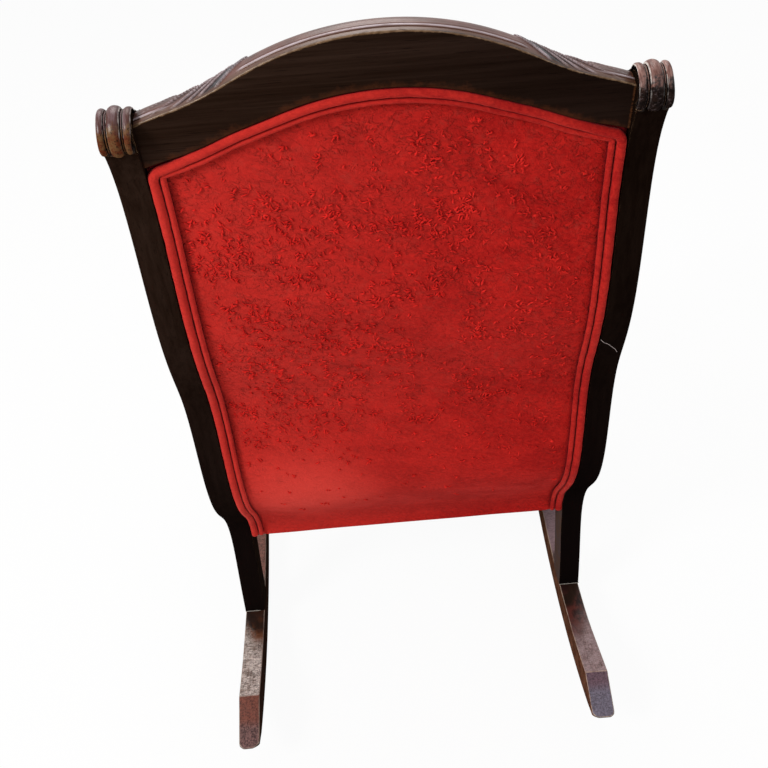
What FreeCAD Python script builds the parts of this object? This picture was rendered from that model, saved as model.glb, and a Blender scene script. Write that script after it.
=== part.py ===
"""Victorian parlour rocking chair: sawn mahogany frame on two curved runners, sprung seat, padded back.

Lengths are in millimetres. While it is built, X runs across, Y from front to rear and Z up from the floor,
with Y = 0 at the back edge of the rear feet. The finished pieces are moved so that the origin lies in the
middle of the footprint.
"""
import FreeCAD, Part
import math
import os

V = FreeCAD.Vector
ACROSS, REARWARD, UP = V(1, 0, 0), V(0, 1, 0), V(0, 0, 1)

# ---------------------------------------------------------------- driving dimensions
stile_spacing = 500.0          # between the middles of the two stiles
stile_thickness = 31.0
foot_depth = 44.0              # front to back of a stile where it stands on its runner
side_splay = 0.8               # degrees that each side frame opens towards the front

# The sawn back edge of a stile: height above the runner, rake behind the foot, depth front to back
stile_curve = (
    (80, -5, 45), (160, -7, 56), (214, 12, 76), (253, 41, 88), (303, 74, 84), (358, 92, 69),
    (430, 101, 59), (522, 117, 56), (587, 144, 57), (650, 163, 53), (727, 174, 49),
    (800, 182, 47), (850, 192, 48))

runner_radius = 1000.0         # of the edge that rolls on the floor
runner_depth = 42.0
runner_thickness = 29.5
rest_ahead = 100.0             # from the rear foot forward to where the runner touches the floor
runner_tail = 202.0            # top edge behind the rear foot
runner_nose = 92.0             # top edge ahead of the front foot
runner_tail_cut = 66.0         # how far the slope at the end of the tail reaches behind its top edge
runner_nose_cut = 18.0         # the same at the nose
runner_end_round = 8.0         # corners of the two ends, seen from above
runner_end_blunt = 2.0         # cut off the feather edge of each end

ear_radius = 22.5              # rolled top of a stile
ear_rise = 915.0               # middle of the roll above the runner
ear_rake = 199.0               # middle of the roll behind the foot
ear_back_turn = -50.0          # degrees round the roll where the stile's back edge runs into it
ear_front_turn = 104.0         # and its front edge
ear_hollow_turn = 158.0        # the hollow under the front of the roll
ear_hollow = 14.0              # how far it stands off the roll
ear_overhang = 0.5             # how far the reeded roll stands proud of each side of the stile
reed_depth = 2.6
reed_shares = (9.0, 13.0, 9.0)  # widths of the three reeds against one another

crest_thickness = 30.0
crest_lean = 15.0              # degrees
crest_foot_rise = 871.3        # lower corner of the crest above the runner
crest_foot_rake = 195.0        # its back face there
crest_end_height = 52.0
crest_arch = 80.5              # rise of the upper edge from its ends to the middle
crest_arch_radius = 259.0
crest_under_arch = 71.5        # the same for the lower edge
crest_under_radius = 255.0
crest_bead = 4.6               # width of the bead that runs along the top
crest_bead_set_in = 8.5        # its middle ahead of the back face
crest_edge_round = 1.5         # of the upper edge at the back
crest_front_roll = 13.0        # the top rolls down to the front face

seat_height_rear = 296.0       # top of the seat rails at the rear, above the floor
seat_tilt = 6.5                # degrees that the seat falls to the rear
seat_depth = 449.0             # from the rear rail to the front of the front legs
rail_depth = 76.0
rail_thickness = 27.0
rear_rail_thickness = 30.0
rear_rail_set_in = 14.0        # its back face ahead of the back of the rear feet
front_rail_set_back = 12.0     # behind the faces of the front legs
tenon_thickness = 10.0
tenon_length = 18.0
tenon_shoulder = 9.0           # left above and below each tenon
stay_rail_rise = 326.0
stay_rail_height = 48.0

front_leg_depth = 40.0
front_foot_depth = 38.0
front_leg_bow = 12.0           # how far the shin swings forward
front_leg_bend = 48.0          # its two bends lie this far above and below the middle
front_knee_drop = 12.0         # the knee lies this far under the seat rails
front_ankle = 4.0

arm_height = 598.0             # top of an arm above the floor
arm_thickness = 30.0
arm_width_rear = 31.0
arm_width_front = 56.0
arm_scroll_radius = 27.0
arm_dip = 12.0                 # how far the top of an arm sinks in the middle
arm_neck = 12.0                # hollow under the arm behind its scroll
arm_reach = 402.0              # from the rear foot forward to the middle of the scroll
arm_post_depth = 40.0
arm_post_thickness = 28.0
arm_post_behind = 41.0         # back edge of the post's head, behind the middle of the scroll
# Share of the height from the rail to the arm, share of the swing forward, depth against the post's own
arm_post_shape = ((-0.12, 0.0, 1.0), (0.12, 0.13, 0.8), (0.36, 0.48, 0.72), (0.62, 0.91, 0.8),
                  (0.84, 1.0, 1.05), (1.02, 0.91, 1.3))
arm_joint_rise = 10.0          # the joint of arm and post, above the foot of the scroll
arm_peg_drop = 20.0            # the peg into the stile, below the top of the arm
arm_pad_length = 235.0
arm_pad_front = 40.0           # its front end behind the middle of the scroll
arm_pad_height = 19.0
arm_pad_margin = 5.0           # wood left bare beside a pad

outside_back_recess = 6.0      # the outside back lies this far inside the back edges of the stiles
outside_back_thickness = 3.0
outside_back_rise = 167.0      # its lower edge above the runner
outside_back_fold = 22.0       # turned under the rear rail
outer_welt = 10.5
inner_welt = 7.0
welt_foot = 3.0                # the welts stop this far above the lower edge
welt_corner = 33.0             # they start to turn this far below the crest
welt_steps = 14
welt_crowding = 1.4            # above 1, the steps of a welt lie closer together towards its foot
welt_over = (0.88, 0.47, 0.24, 0.0)  # points under the crest, as shares of the half width

webbing_width = 50.0
webbing_thickness = 1.6
back_webbing_strips = 4        # each way
back_webbing_rise = 440.0      # the lowest level strip above the runner
back_webbing_pitch_up = 100.0
back_webbing_pitch_across = 85.0

# Front of the back pad: height above the runner, distance ahead of the sweep of the back, swell
back_pad_curve = (
    (290, 46, 6), (330, 68, 15), (372, 82, 25), (430, 77, 32), (540, 73, 34), (650, 69, 32), (760, 63, 27),
    (850, 55, 20), (905, 48, 14), (960, 44, 10), (1015, 43, 8))
back_pad_overlap = 18.0        # it covers this much of the front of the crest
cover_thickness = 1.8

seat_rear = 22.0               # back edge of the seat, behind the back face of the rear rail
seat_pad_border = 34.0         # height of the seat's straight sides
seat_swell = ((0, 0), (5, 13), (16, 24), (36, 33), (70, 40), (125, 46))  # distance in from them, rise
seat_corner = 26.0             # corners of the swell, seen from above
seat_stile_gap = 4.0
seat_post_gap = 20.0           # the seat is notched this far behind the front legs
spring_rise = 22.0             # how far the springs stand above the rails
spring_wire = 4.0
spring_radius = 34.0
spring_waist = 22.0
spring_turns = 4
spring_chords = 8              # straight lengths in each turn
spring_rows = 3
spring_columns = 3
hessian_thickness = 1.2
hessian_inset = 22.0
seat_welt = 8.0
seat_welt_gap = 1.0
dust_cover_thickness = 1.0
dust_cover_lap = 9.5           # how far it laps the front and side rails
dust_cover_rear_lap = 21.5
dust_cover_notch = 12.0        # it is notched this far round the legs

dowel_diameter = 12.0
dowel_depth = 26.0             # in each of the two pieces
dowel_end_gap = 1.0
block_leg = 62.0               # the two equal sides of a corner block
block_height = 40.0
screw_diameter = 4.6
screw_head = 9.0
screw_length = 40.0
screw_sink = 2.0               # how far a head lies under the face of its block
tack_head = 9.0
tack_thickness = 1.4
tack_pitch = 62.0
tack_inset = 8.0               # from the edge of the cloth
fit = 0.3                      # gap left round soft pieces and in blind joints
lap = 1.0                      # how far pieces of one solid run into each other before they are joined
run_in = 20.0                  # how far a blank runs into its neighbours before it is cut to them

# ---------------------------------------------------------------- worked out from them
half_spacing = stile_spacing / 2
inner_face = half_spacing - stile_thickness / 2
runner_top_radius = runner_radius - runner_depth
foot_height = runner_radius - math.sqrt(runner_top_radius ** 2 - rest_ahead ** 2)
splay_tangent = math.tan(math.radians(side_splay))
rear_rail_back = -rear_rail_set_in
rear_rail_front = rear_rail_back - rear_rail_thickness
leg_front = rear_rail_front - seat_depth
leg_back = leg_front + front_leg_depth
beyond = 2 * runner_radius     # farther out than any piece, for the blanks that cut
sides = (("left", 1), ("right", -1))

pieces = {}


# ---------------------------------------------------------------- small helpers
def line(a, b):
    return Part.LineSegment(a, b).toShape()


def arc(a, b, c):
    return Part.Arc(a, b, c).toShape()


def polygon(points):
    return Part.Face(Part.makePolygon(list(points) + [points[0]]))


def spline(points):
    curve = Part.BSplineCurve()
    curve.interpolate(points)
    return curve


def side_point(y, z):
    return V(0, y, z)


def extrude_across(face, half_width):
    """A face in the YZ plane, drawn out to both sides of X = 0."""
    moved = face.copy()
    moved.translate(V(-half_width, 0, 0))
    return moved.extrude(V(2 * half_width, 0, 0))


def block(x0, x1, y0, y1, z0, z1):
    return Part.makeBox(x1 - x0, y1 - y0, z1 - z0, V(x0, y0, z0))


def rod(start, direction, length, diameter):
    return Part.makeCylinder(diameter / 2, length, start, direction)


def mirrored(shape):
    return shape.mirror(V(0, 0, 0), ACROSS)


def to_side(shape, side):
    """From the middle plane to one side frame, opened by the splay about the rear foot."""
    placed = shape.copy()
    placed.rotate(V(0, 0, 0), UP, side_splay)
    placed.translate(V(half_spacing, 0, 0))
    return placed if side > 0 else mirrored(placed)


def seat_tilted(shape):
    """From the seat's own level plane, where Z = 0 is the top of the rails, to its place in the chair."""
    placed = shape.copy()
    placed.rotate(V(0, 0, 0), ACROSS, -seat_tilt)
    placed.translate(V(0, rear_rail_back, seat_height_rear))
    return placed


def seat_y(y):
    """A place along the chair, as a distance along the tilted seat."""
    return (y - rear_rail_back) / math.cos(math.radians(seat_tilt))


def crest_placed(shape):
    """From the crest's own plane, with its lower corners at Z = 0, to its place on the stiles."""
    placed = shape.copy()
    placed.rotate(V(0, 0, 0), ACROSS, -crest_lean)
    placed.translate(V(0, crest_foot_rake, foot_height + crest_foot_rise))
    return placed


def depth_at(curve, height):
    """Where along Y a rising curve passes a height."""
    low, high = curve.FirstParameter, curve.LastParameter
    rising = curve.value(high).z > curve.value(low).z
    for _ in range(40):
        middle = (low + high) / 2
        if (curve.value(middle).z < height) == rising:
            low = middle
        else:
            high = middle
    return curve.value(low).y


def edges_along(body, path):
    """The edges of a body whose middles lie on a path."""
    found = []
    for edge in body.Edges:
        middle = edge.valueAt((edge.FirstParameter + edge.LastParameter) / 2)
        if Part.Vertex(middle).distToShape(path)[0] < 0.01:
            found.append(edge)
    return found


def solid_of(shape):
    """The single solid of a result that should have one."""
    return max(shape.Solids, key=lambda solid: solid.Volume)


# ---------------------------------------------------------------- stiles with their rolled ears
def stile_edge(depth_share):
    """Points up one edge of a stile: 0 follows the back edge and 1 the front edge."""
    points = [V(0, -depth_share * foot_depth, foot_height - runner_depth),
              V(0, -depth_share * foot_depth, foot_height)]
    for rise, rake, depth in stile_curve:
        points.append(V(0, rake - depth_share * depth, foot_height + rise))
    return points


def ear_point(radius, degrees):
    turn = math.radians(degrees)
    return V(0, ear_rake + radius * math.cos(turn), foot_height + ear_rise + radius * math.sin(turn))


def stile_face():
    back = stile_edge(0) + [ear_point(ear_radius, ear_back_turn)]
    front = stile_edge(1) + [ear_point(ear_radius + ear_hollow, ear_hollow_turn),
                             ear_point(ear_radius, ear_front_turn)]
    edges = [spline(back).toShape(),
             arc(back[-1], ear_point(ear_radius, (ear_back_turn + ear_front_turn) / 2), front[-1]),
             spline(front).toShape(),
             line(front[0], back[0])]
    return Part.Face(Part.Wire(Part.__sortEdges__(edges)))


def reeded_roll():
    """The three reeds that wrap round the ear, turned about its middle."""
    half_width = stile_thickness / 2 + ear_overhang
    scale = 2 * half_width / sum(reed_shares)
    valley = ear_radius - reed_depth / 2
    x = -half_width
    edges = [line(V(x, 0, 0), V(x, 0, valley))]
    for share in reed_shares:
        end = x + share * scale
        edges.append(arc(V(x, 0, valley), V((x + end) / 2, 0, valley + reed_depth), V(end, 0, valley)))
        x = end
    edges += [line(V(x, 0, valley), V(x, 0, 0)), line(V(x, 0, 0), V(-half_width, 0, 0))]
    roll = Part.Face(Part.Wire(edges)).revolve(V(0, 0, 0), ACROSS, 360)
    roll.translate(V(0, ear_rake, foot_height + ear_rise))
    return roll


def above_runner(side):
    """Everything above the upper edge of one runner, for trimming the feet that stand on it."""
    width = 4 * stile_thickness
    drum = Part.makeCylinder(runner_top_radius, width, V(-width / 2, -rest_ahead, runner_radius), ACROSS)
    return to_side(drum, side)


def make_stiles():
    body = extrude_across(stile_face(), stile_thickness / 2).fuse(reeded_roll())
    for name, side in sides:
        stile = body.copy()
        stile.translate(V(side * half_spacing, 0, 0))
        pieces["stile_" + name] = solid_of(stile.common(above_runner(side)))


# ---------------------------------------------------------------- runners
def on_runner(radius, y):
    return V(0, y, runner_radius - math.sqrt(radius ** 2 - (y + rest_ahead) ** 2))


def runner_face():
    tail_top = on_runner(runner_top_radius, runner_tail)
    nose_top = on_runner(runner_top_radius, leg_front - runner_nose)
    tail_low = on_runner(runner_radius, runner_tail + runner_tail_cut)
    nose_low = on_runner(runner_radius, leg_front - runner_nose + runner_nose_cut)
    edges = [arc(tail_top, on_runner(runner_top_radius, -rest_ahead), nose_top),
             line(nose_top, nose_low),
             arc(nose_low, on_runner(runner_radius, -rest_ahead), tail_low),
             line(tail_low, tail_top)]
    return Part.Face(Part.Wire(Part.__sortEdges__(edges)))


def make_runners():
    body = extrude_across(runner_face(), runner_thickness / 2)
    half = runner_thickness / 2
    front_end = leg_front - runner_nose + runner_end_blunt
    rear_end = runner_tail + runner_tail_cut - runner_end_blunt
    plan = block(-half, half, front_end, rear_end, -beyond, beyond)
    corners = [edge for edge in plan.Edges if edge.BoundBox.ZLength > beyond]
    body = body.common(plan.makeFillet(runner_end_round, corners))
    for name, side in sides:
        pieces["runner_" + name] = to_side(body, side)


# ---------------------------------------------------------------- front legs and arm posts
def sawn(back_edge, front_edge, thickness):
    """A board sawn to two curves, each a list of (y, z) from the bottom up."""
    back = [side_point(*p) for p in back_edge]
    front = [side_point(*p) for p in front_edge]
    edges = [spline(back).toShape(), spline(front).toShape(),
             line(back[0], front[0]), line(back[-1], front[-1])]
    return extrude_across(Part.Face(Part.Wire(Part.__sortEdges__(edges))), thickness / 2)


def rail_top_at(y):
    return seat_height_rear + (rear_rail_back - y) * math.tan(math.radians(seat_tilt))


def make_front_legs():
    top = rail_top_at(leg_front)
    knee = top - rail_depth - front_knee_drop
    foot = foot_height - runner_depth / 2
    middle = (knee + foot) / 2
    foot_back = leg_back - (front_leg_depth - front_foot_depth) / 2
    foot_front = foot_back - front_foot_depth
    low_bend, high_bend = middle - front_leg_bend, middle + front_leg_bend
    over = top + rail_depth
    back = [(foot_back, foot), (foot_back - front_leg_bow, low_bend), (leg_back - front_ankle, high_bend),
            (leg_back, knee), (leg_back, (knee + top) / 2), (leg_back, over)]
    front = [(foot_front, foot), (foot_front + front_ankle, low_bend),
             (leg_front - front_leg_bow / 2, high_bend), (leg_front, (knee + top) / 2), (leg_front, over)]
    body = sawn(back, front, stile_thickness)
    below_top = seat_tilted(block(-stile_thickness, stile_thickness, -beyond, beyond, -beyond, 0))
    for name, side in sides:
        leg = to_side(body.common(below_top), side)
        pieces["front_leg_" + name] = solid_of(leg.common(above_runner(side)))


def make_arm_posts():
    low = rail_top_at(leg_back)
    rise = arm_height - low
    foot = leg_back - (front_leg_depth - arm_post_depth) / 2
    swing = arm_post_behind - arm_reach - foot
    back = [(foot + forward * swing, low + share * rise) for share, forward, _ in arm_post_shape]
    front = [(y - depth * arm_post_depth, z) for (y, z), (_, _, depth) in zip(back, arm_post_shape)]
    body = sawn(back, front, arm_post_thickness)
    above_rail = seat_tilted(block(-stile_thickness, stile_thickness, -beyond, beyond, 0, beyond))
    body = body.common(above_rail)
    for name, side in sides:
        post = to_side(body, side)
        pieces["arm_post_" + name] = solid_of(post.cut(pieces["arm_" + name]))


# ---------------------------------------------------------------- arms and their pads
def arm_top_points():
    """The upper edge from inside the stile to the top of the scroll."""
    start = depth_at(spline(stile_edge(1)), arm_height) + run_in
    length = start + arm_reach
    shares = ((0.0, 0.5), (0.18, 0.75), (0.48, 1.0), (0.72, 0.42), (1.0, 0.0))
    return [V(0, start - along * length, arm_height - dip * arm_dip) for along, dip in shares]


def arm_side_face():
    top = arm_top_points()
    middle = V(0, -arm_reach, arm_height - arm_scroll_radius)
    tail = V(0, -arm_reach + arm_scroll_radius, middle.z)
    tip = V(0, -arm_reach - arm_scroll_radius, middle.z)
    dip = V(0, -arm_reach, middle.z - arm_scroll_radius)
    under = [V(0, p.y, p.z - arm_thickness) for p in top[:-1]]
    under += [V(0, tail.y + arm_neck, arm_height - arm_thickness), tail]
    eighth = arm_scroll_radius * math.sqrt(0.5)
    edges = [spline(top).toShape(), arc(top[-1], tip, dip),
             arc(dip, V(0, middle.y + eighth, middle.z - eighth), tail),
             spline(under).toShape(), line(under[0], top[0])]
    return Part.Face(Part.Wire(Part.__sortEdges__(edges)))


def arm_plan_face(margin=0.0, front=None, rear=None):
    """The arm seen from above, as a face at Z = 0."""
    rear_y = depth_at(spline(stile_edge(1)), arm_height) + run_in
    front_y = -arm_reach - arm_scroll_radius
    shares = ((0, 0.0), (0.22, 0.06), (0.5, 0.5), (0.75, 0.92), (1, 1.0))
    outline = []
    for along, widened in shares:
        half = (arm_width_rear + widened * (arm_width_front - arm_width_rear)) / 2 - margin
        outline.append(V(half, rear_y + along * (front_y - rear_y), 0))
    other = [V(-p.x, p.y, 0) for p in outline]
    edges = [spline(outline).toShape(), spline(other).toShape(),
             line(outline[0], other[0]), line(outline[-1], other[-1])]
    face = Part.Face(Part.Wire(Part.__sortEdges__(edges)))
    if front is not None:
        ends = [V(-arm_width_front, front, 0), V(arm_width_front, front, 0),
                V(arm_width_front, rear, 0), V(-arm_width_front, rear, 0)]
        face = face.common(polygon(ends)).Faces[0]
    return face


def make_arms():
    side = extrude_across(arm_side_face(), arm_width_front)
    plan = arm_plan_face()
    plan.translate(V(0, 0, arm_height - 3 * arm_scroll_radius))
    body = side.common(plan.extrude(V(0, 0, 5 * arm_scroll_radius)))
    for name, side in sides:
        arm = to_side(body, side)
        pieces["arm_" + name] = solid_of(arm.cut(pieces["stile_" + name]))


def arm_pad_form(extra):
    """A loaf on the arm, grown all round by a cover's thickness."""
    front = -arm_reach + arm_pad_front - extra
    rear = front + arm_pad_length + 2 * extra
    plan = arm_plan_face(arm_pad_margin - extra, front, rear)
    plan.translate(V(0, 0, arm_height - arm_thickness))
    loaf = plan.extrude(V(0, 0, arm_thickness + 3 * arm_pad_height))
    crown = arm_pad_height + extra
    half, seat = arm_width_front / 2, arm_height - arm_dip
    top = [V(-half, 0, seat + crown * 0.4), V(0, 0, seat + crown), V(half, 0, seat + crown * 0.4)]
    low = arm_height - 2 * arm_thickness
    edges = [arc(*top), line(top[2], V(half, 0, low)), line(V(half, 0, low), V(-half, 0, low)),
             line(V(-half, 0, low), top[0])]
    barrel = Part.Face(Part.Wire(edges))
    barrel.translate(V(0, beyond, 0))
    return loaf.common(barrel.extrude(V(0, -2 * beyond, 0)))


def make_arm_pads():
    stuffing = arm_pad_form(0)
    cover = arm_pad_form(cover_thickness + fit).cut(arm_pad_form(fit))
    for name, side in sides:
        arm = pieces["arm_" + name]
        pieces["arm_pad_" + name] = solid_of(to_side(stuffing, side).cut(arm))
        pieces["arm_pad_cover_" + name] = solid_of(to_side(cover, side).cut(arm))


# ---------------------------------------------------------------- crest
def arched(end_height, arch, radius, drop=0.0, reach=0.0):
    """An arch between two straight shoulders, as edges from +X to -X with their two end points.

    The shoulders leave the arch as tangents and come down to the end height at the stiles. They can be
    carried on by a reach past the stiles, and the whole can be dropped.
    """
    crown = end_height + arch
    low, high = 0.0, math.radians(60)
    for _ in range(50):
        turn = (low + high) / 2
        x, z = radius * math.sin(turn), crown - radius * (1 - math.cos(turn))
        if z - (inner_face - x) * math.tan(turn) > end_height:
            low = turn
        else:
            high = turn
    top = V(0, 0, crown - drop)
    left, right = V(x, 0, z - drop), V(-x, 0, z - drop)
    end_z = end_height - drop - reach * math.tan(turn)
    end_left, end_right = V(inner_face + reach, 0, end_z), V(-inner_face - reach, 0, end_z)
    return [line(end_left, left), arc(left, top, right), line(right, end_right)], end_left, end_right


def crest_outline(reach):
    upper, top_left, top_right = arched(crest_end_height, crest_arch, crest_arch_radius, 0, reach)
    lower, low_left, low_right = arched(0, crest_under_arch, crest_under_radius, 0, reach)
    return Part.Face(Part.Wire(Part.__sortEdges__(
        upper + lower + [line(top_left, low_left), line(top_right, low_right)])))


def top_bead(reach):
    """A half-round bead along the upper edge."""
    path, start, _ = arched(crest_end_height, crest_arch, crest_arch_radius, 0, reach)
    along = path[0].tangentAt(path[0].FirstParameter)
    ring = Part.Wire(Part.makeCircle(crest_bead / 2, start, along))
    bead = Part.Wire(path).makePipeShell([ring], True, False)
    bead.translate(V(0, -crest_bead_set_in, 0))
    return bead


def make_crest():
    reach = stile_thickness / 2
    body = crest_outline(reach).extrude(V(0, -crest_thickness, 0))
    upper = Part.Wire(arched(crest_end_height, crest_arch, crest_arch_radius, 0, reach)[0])
    front_upper = upper.copy()
    front_upper.translate(V(0, -crest_thickness, 0))
    body = body.makeFillet(crest_edge_round, edges_along(body, upper))
    body = body.makeFillet(crest_front_roll, edges_along(body, front_upper))
    body = body.fuse(top_bead(reach))
    body = crest_placed(body)
    body = body.common(block(-inner_face, inner_face, -beyond, beyond, -beyond, beyond))
    for name, _ in sides:
        body = body.cut(pieces["stile_" + name])
    pieces["crest_rail"] = solid_of(body)


# ---------------------------------------------------------------- surfaces that follow the back
def back_curve():
    """The sweep of the back, carried on past the stiles' necks into the plane of the crest."""
    points = stile_edge(0)
    for share in (0.25, 0.55, 1.0):
        climb = share * (crest_end_height + crest_arch)
        height = crest_foot_rise + climb
        points.append(V(0, crest_foot_rake + climb * math.tan(math.radians(crest_lean)),
                        foot_height + height))
    return spline(points)


def back_layer(outer, inner, half_width):
    """A sheet between two distances in front of the sweep of the back."""
    near, far = back_curve().toShape(), back_curve().toShape()
    near.translate(V(0, -outer, 0))
    far.translate(V(0, -inner, 0))
    ends = [line(near.Vertexes[i].Point, far.Vertexes[i].Point) for i in (0, 1)]
    face = Part.Face(Part.Wire(Part.__sortEdges__([near, far] + ends)))
    return extrude_across(face, half_width)


def under_crest(gap):
    """All that lies below the lower edge of the crest, less a gap."""
    edges, left, right = arched(0, crest_under_arch, crest_under_radius, gap, stile_thickness)
    low_left, low_right = V(left.x, 0, -beyond), V(right.x, 0, -beyond)
    edges += [line(left, low_left), line(low_left, low_right), line(low_right, right)]
    face = Part.Face(Part.Wire(Part.__sortEdges__(edges)))
    face.translate(V(0, beyond, 0))
    return crest_placed(face.extrude(V(0, -2 * beyond, 0)))


def make_outside_back():
    half = inner_face - fit
    inner = outside_back_recess + outside_back_thickness
    low = foot_height + outside_back_rise
    sheet = back_layer(outside_back_recess, inner, half)
    sheet = sheet.common(under_crest(fit))
    sheet = sheet.common(block(-half, half, -beyond, beyond, low - outside_back_thickness, beyond))
    back = depth_at(back_curve(), low) - outside_back_recess - lap
    fold = block(-half, half, back - outside_back_fold, back, low - outside_back_thickness, low)
    pieces["outside_back"] = solid_of(sheet.fuse(fold).removeSplitter())


# ---------------------------------------------------------------- rails with tenons
def tenoned(name, blank_solid, tongue, posts):
    """A rail fitted between its posts, with tenons in mortises cut to them."""
    rail = blank_solid
    for post in posts:
        rail = rail.cut(pieces[post])
    rail = solid_of(rail).fuse(tongue)
    for post in posts:
        pieces[post] = solid_of(pieces[post].cut(tongue))
    pieces[name] = solid_of(rail.removeSplitter())


def make_seat_rails():
    top, low = -tenon_shoulder, -rail_depth + tenon_shoulder
    reach = inner_face + tenon_length
    rear_half = (rear_rail_back - rear_rail_front) / 2
    rear = seat_tilted(block(-half_spacing, half_spacing, -2 * rear_half, 0, -rail_depth, 0))
    rear_tongue = seat_tilted(block(-reach, reach, -rear_half - tenon_thickness / 2,
                                    -rear_half + tenon_thickness / 2, low, top))
    tenoned("rear_seat_rail", rear, rear_tongue, ("stile_left", "stile_right"))
    front_y = seat_front_y()
    wide = half_spacing - leg_front * splay_tangent
    front = seat_tilted(block(-wide, wide, front_y, front_y + rail_thickness, -rail_depth, 0))
    front_mid = front_y + rail_thickness / 2
    reach = wide - stile_thickness / 2 + tenon_length
    front_tongue = seat_tilted(block(-reach, reach, front_mid - tenon_thickness / 2,
                                     front_mid + tenon_thickness / 2, low, top))
    tenoned("front_seat_rail", front, front_tongue, ("front_leg_left", "front_leg_right"))
    rear_end = seat_y(-foot_depth)
    front_end = seat_y(leg_back)
    inner = -stile_thickness / 2
    side_blank = block(inner, inner + rail_thickness, front_end - front_leg_depth / 2, rear_end,
                       -rail_depth, 0)
    side_tongue = block(-tenon_thickness / 2, tenon_thickness / 2, front_end - tenon_length,
                        seat_y(stile_front_at_rail()) + tenon_length, low, top)
    for name, side in sides:
        tenoned("side_seat_rail_" + name, to_side(seat_tilted(side_blank), side),
                to_side(seat_tilted(side_tongue), side), ("stile_" + name, "front_leg_" + name))


def stile_front_at_rail():
    return depth_at(spline(stile_edge(1)), seat_height_rear - rail_depth / 2)


def make_stay_rail():
    low = foot_height + stay_rail_rise
    inner = outside_back_recess + outside_back_thickness
    layer = back_layer(inner, crest_front_depth(), half_spacing)
    rail = layer.common(block(-half_spacing, half_spacing, -beyond, beyond, low, low + stay_rail_height))
    middle = depth_at(back_curve(), low + stay_rail_height / 2) - (inner + crest_front_depth()) / 2
    reach = inner_face + tenon_length
    tongue = block(-reach, reach, middle - tenon_thickness / 2, middle + tenon_thickness / 2,
                   low + tenon_shoulder, low + stay_rail_height - tenon_shoulder)
    tenoned("stay_rail", rail, tongue, ("stile_left", "stile_right"))


def crest_front_depth():
    """How far the front of the crest lies ahead of the sweep of the back, measured level."""
    return crest_thickness / math.cos(math.radians(crest_lean))


# ---------------------------------------------------------------- corner blocks, screws, dowels
def wood_screw(head, direction):
    shank = rod(head, direction, screw_length, screw_diameter)
    countersink = (screw_head - screw_diameter) / 2
    cone = Part.makeCone(screw_head / 2, screw_diameter / 2, countersink, head, direction)
    return shank.fuse(cone).removeSplitter()


def corner_block(corner, towards):
    """A triangular block, drawn in the seat's level plane, that reaches into its corner to be trimmed."""
    leg = block_leg + 2 * run_in
    start = corner + V(run_in, -towards * run_in, -(rail_depth + block_height) / 2)
    face = polygon([start, start + V(-leg, 0, 0), start + V(0, towards * leg, 0)])
    return face.extrude(V(0, 0, block_height))


def make_corner_blocks():
    front_y = seat_front_y() + rail_thickness
    rear_y = seat_y(rear_rail_front)
    screws = []
    for end, y, towards in (("front", front_y, 1), ("rear", rear_y, -1)):
        corner = V(inner_face - (y + rear_rail_back) * splay_tangent, y, 0)
        body = seat_tilted(corner_block(corner, towards))
        slope_middle = corner + V(-block_leg / 2, towards * block_leg / 2, -rail_depth / 2)
        side_screw = wood_screw(slope_middle + V(screw_sink - screw_head, towards * screw_head, 0), ACROSS)
        end_screw = wood_screw(slope_middle + V(screw_head, screw_sink - towards * screw_head, 0),
                               REARWARD * -towards)
        for name, side in sides:
            seated = body if side > 0 else mirrored(body)
            for near in ("stile_" + name, "front_leg_" + name, "side_seat_rail_" + name,
                         end + "_seat_rail"):
                seated = seated.cut(pieces[near])
            pieces[end + "_block_" + name] = solid_of(seated)
            for screw in (side_screw, end_screw):
                placed = seat_tilted(screw)
                screws.append(placed if side > 0 else mirrored(placed))
    return screws


def drill(group, names):
    """Cut a group of fasteners out of every named piece that they enter."""
    for name in names:
        for item in group:
            if item.BoundBox.intersect(pieces[name].BoundBox):
                pieces[name] = solid_of(pieces[name].cut(item))


def make_screws(screws):
    wood = [name for name in pieces if "block" in name or "seat_rail" in name or "stile" in name
            or "front_leg" in name]
    drill(screws, wood)
    pieces["corner_block_screws"] = Part.makeCompound(screws)


def make_dowels():
    """Round pegs: crest to stiles, feet to runners, arms to stiles and to their posts."""
    pegs = []
    length = 2 * (dowel_depth - dowel_end_gap)
    for height in (crest_end_height * 0.28, crest_end_height * 0.72):
        centre = crest_placed(Part.Vertex(V(0, -crest_thickness / 2, height))).Point
        # The lower edge climbs away from the end, so each peg lies just above it.
        peg = rod(V(inner_face - length / 2, centre.y, centre.z + dowel_diameter * 0.4), ACROSS, length,
                  dowel_diameter)
        pegs += [peg, mirrored(peg)]
    pieces["crest_dowels"] = Part.makeCompound(pegs)
    drill(pegs, ["crest_rail", "stile_left", "stile_right"])
    for name, side in sides:
        feet = []
        for y in (-foot_depth / 2, leg_front + front_leg_depth / 2):
            top = on_runner(runner_top_radius, y)
            feet.append(to_side(rod(top - UP * dowel_depth, UP, 2 * dowel_depth, dowel_diameter), side))
        pieces["foot_dowels_" + name] = Part.makeCompound(feet)
        drill(feet, ["runner_" + name, "stile_" + name, "front_leg_" + name])
        start = depth_at(spline(stile_edge(1)), arm_height)
        joint = V(0, arm_post_behind - arm_reach - arm_post_depth * 0.6,
                  arm_height - 2 * arm_scroll_radius + arm_joint_rise)
        rear_peg = rod(V(0, start - dowel_depth, arm_height - arm_peg_drop), REARWARD,
                       2 * dowel_depth, dowel_diameter)
        front_peg = rod(joint - UP * dowel_depth * 0.6, UP, dowel_depth * 1.8, dowel_diameter)
        arm_pegs = [to_side(rear_peg, side), to_side(front_peg, side)]
        pieces["arm_dowels_" + name] = Part.makeCompound(arm_pegs)
        drill(arm_pegs, ["arm_" + name, "stile_" + name, "arm_post_" + name])


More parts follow.
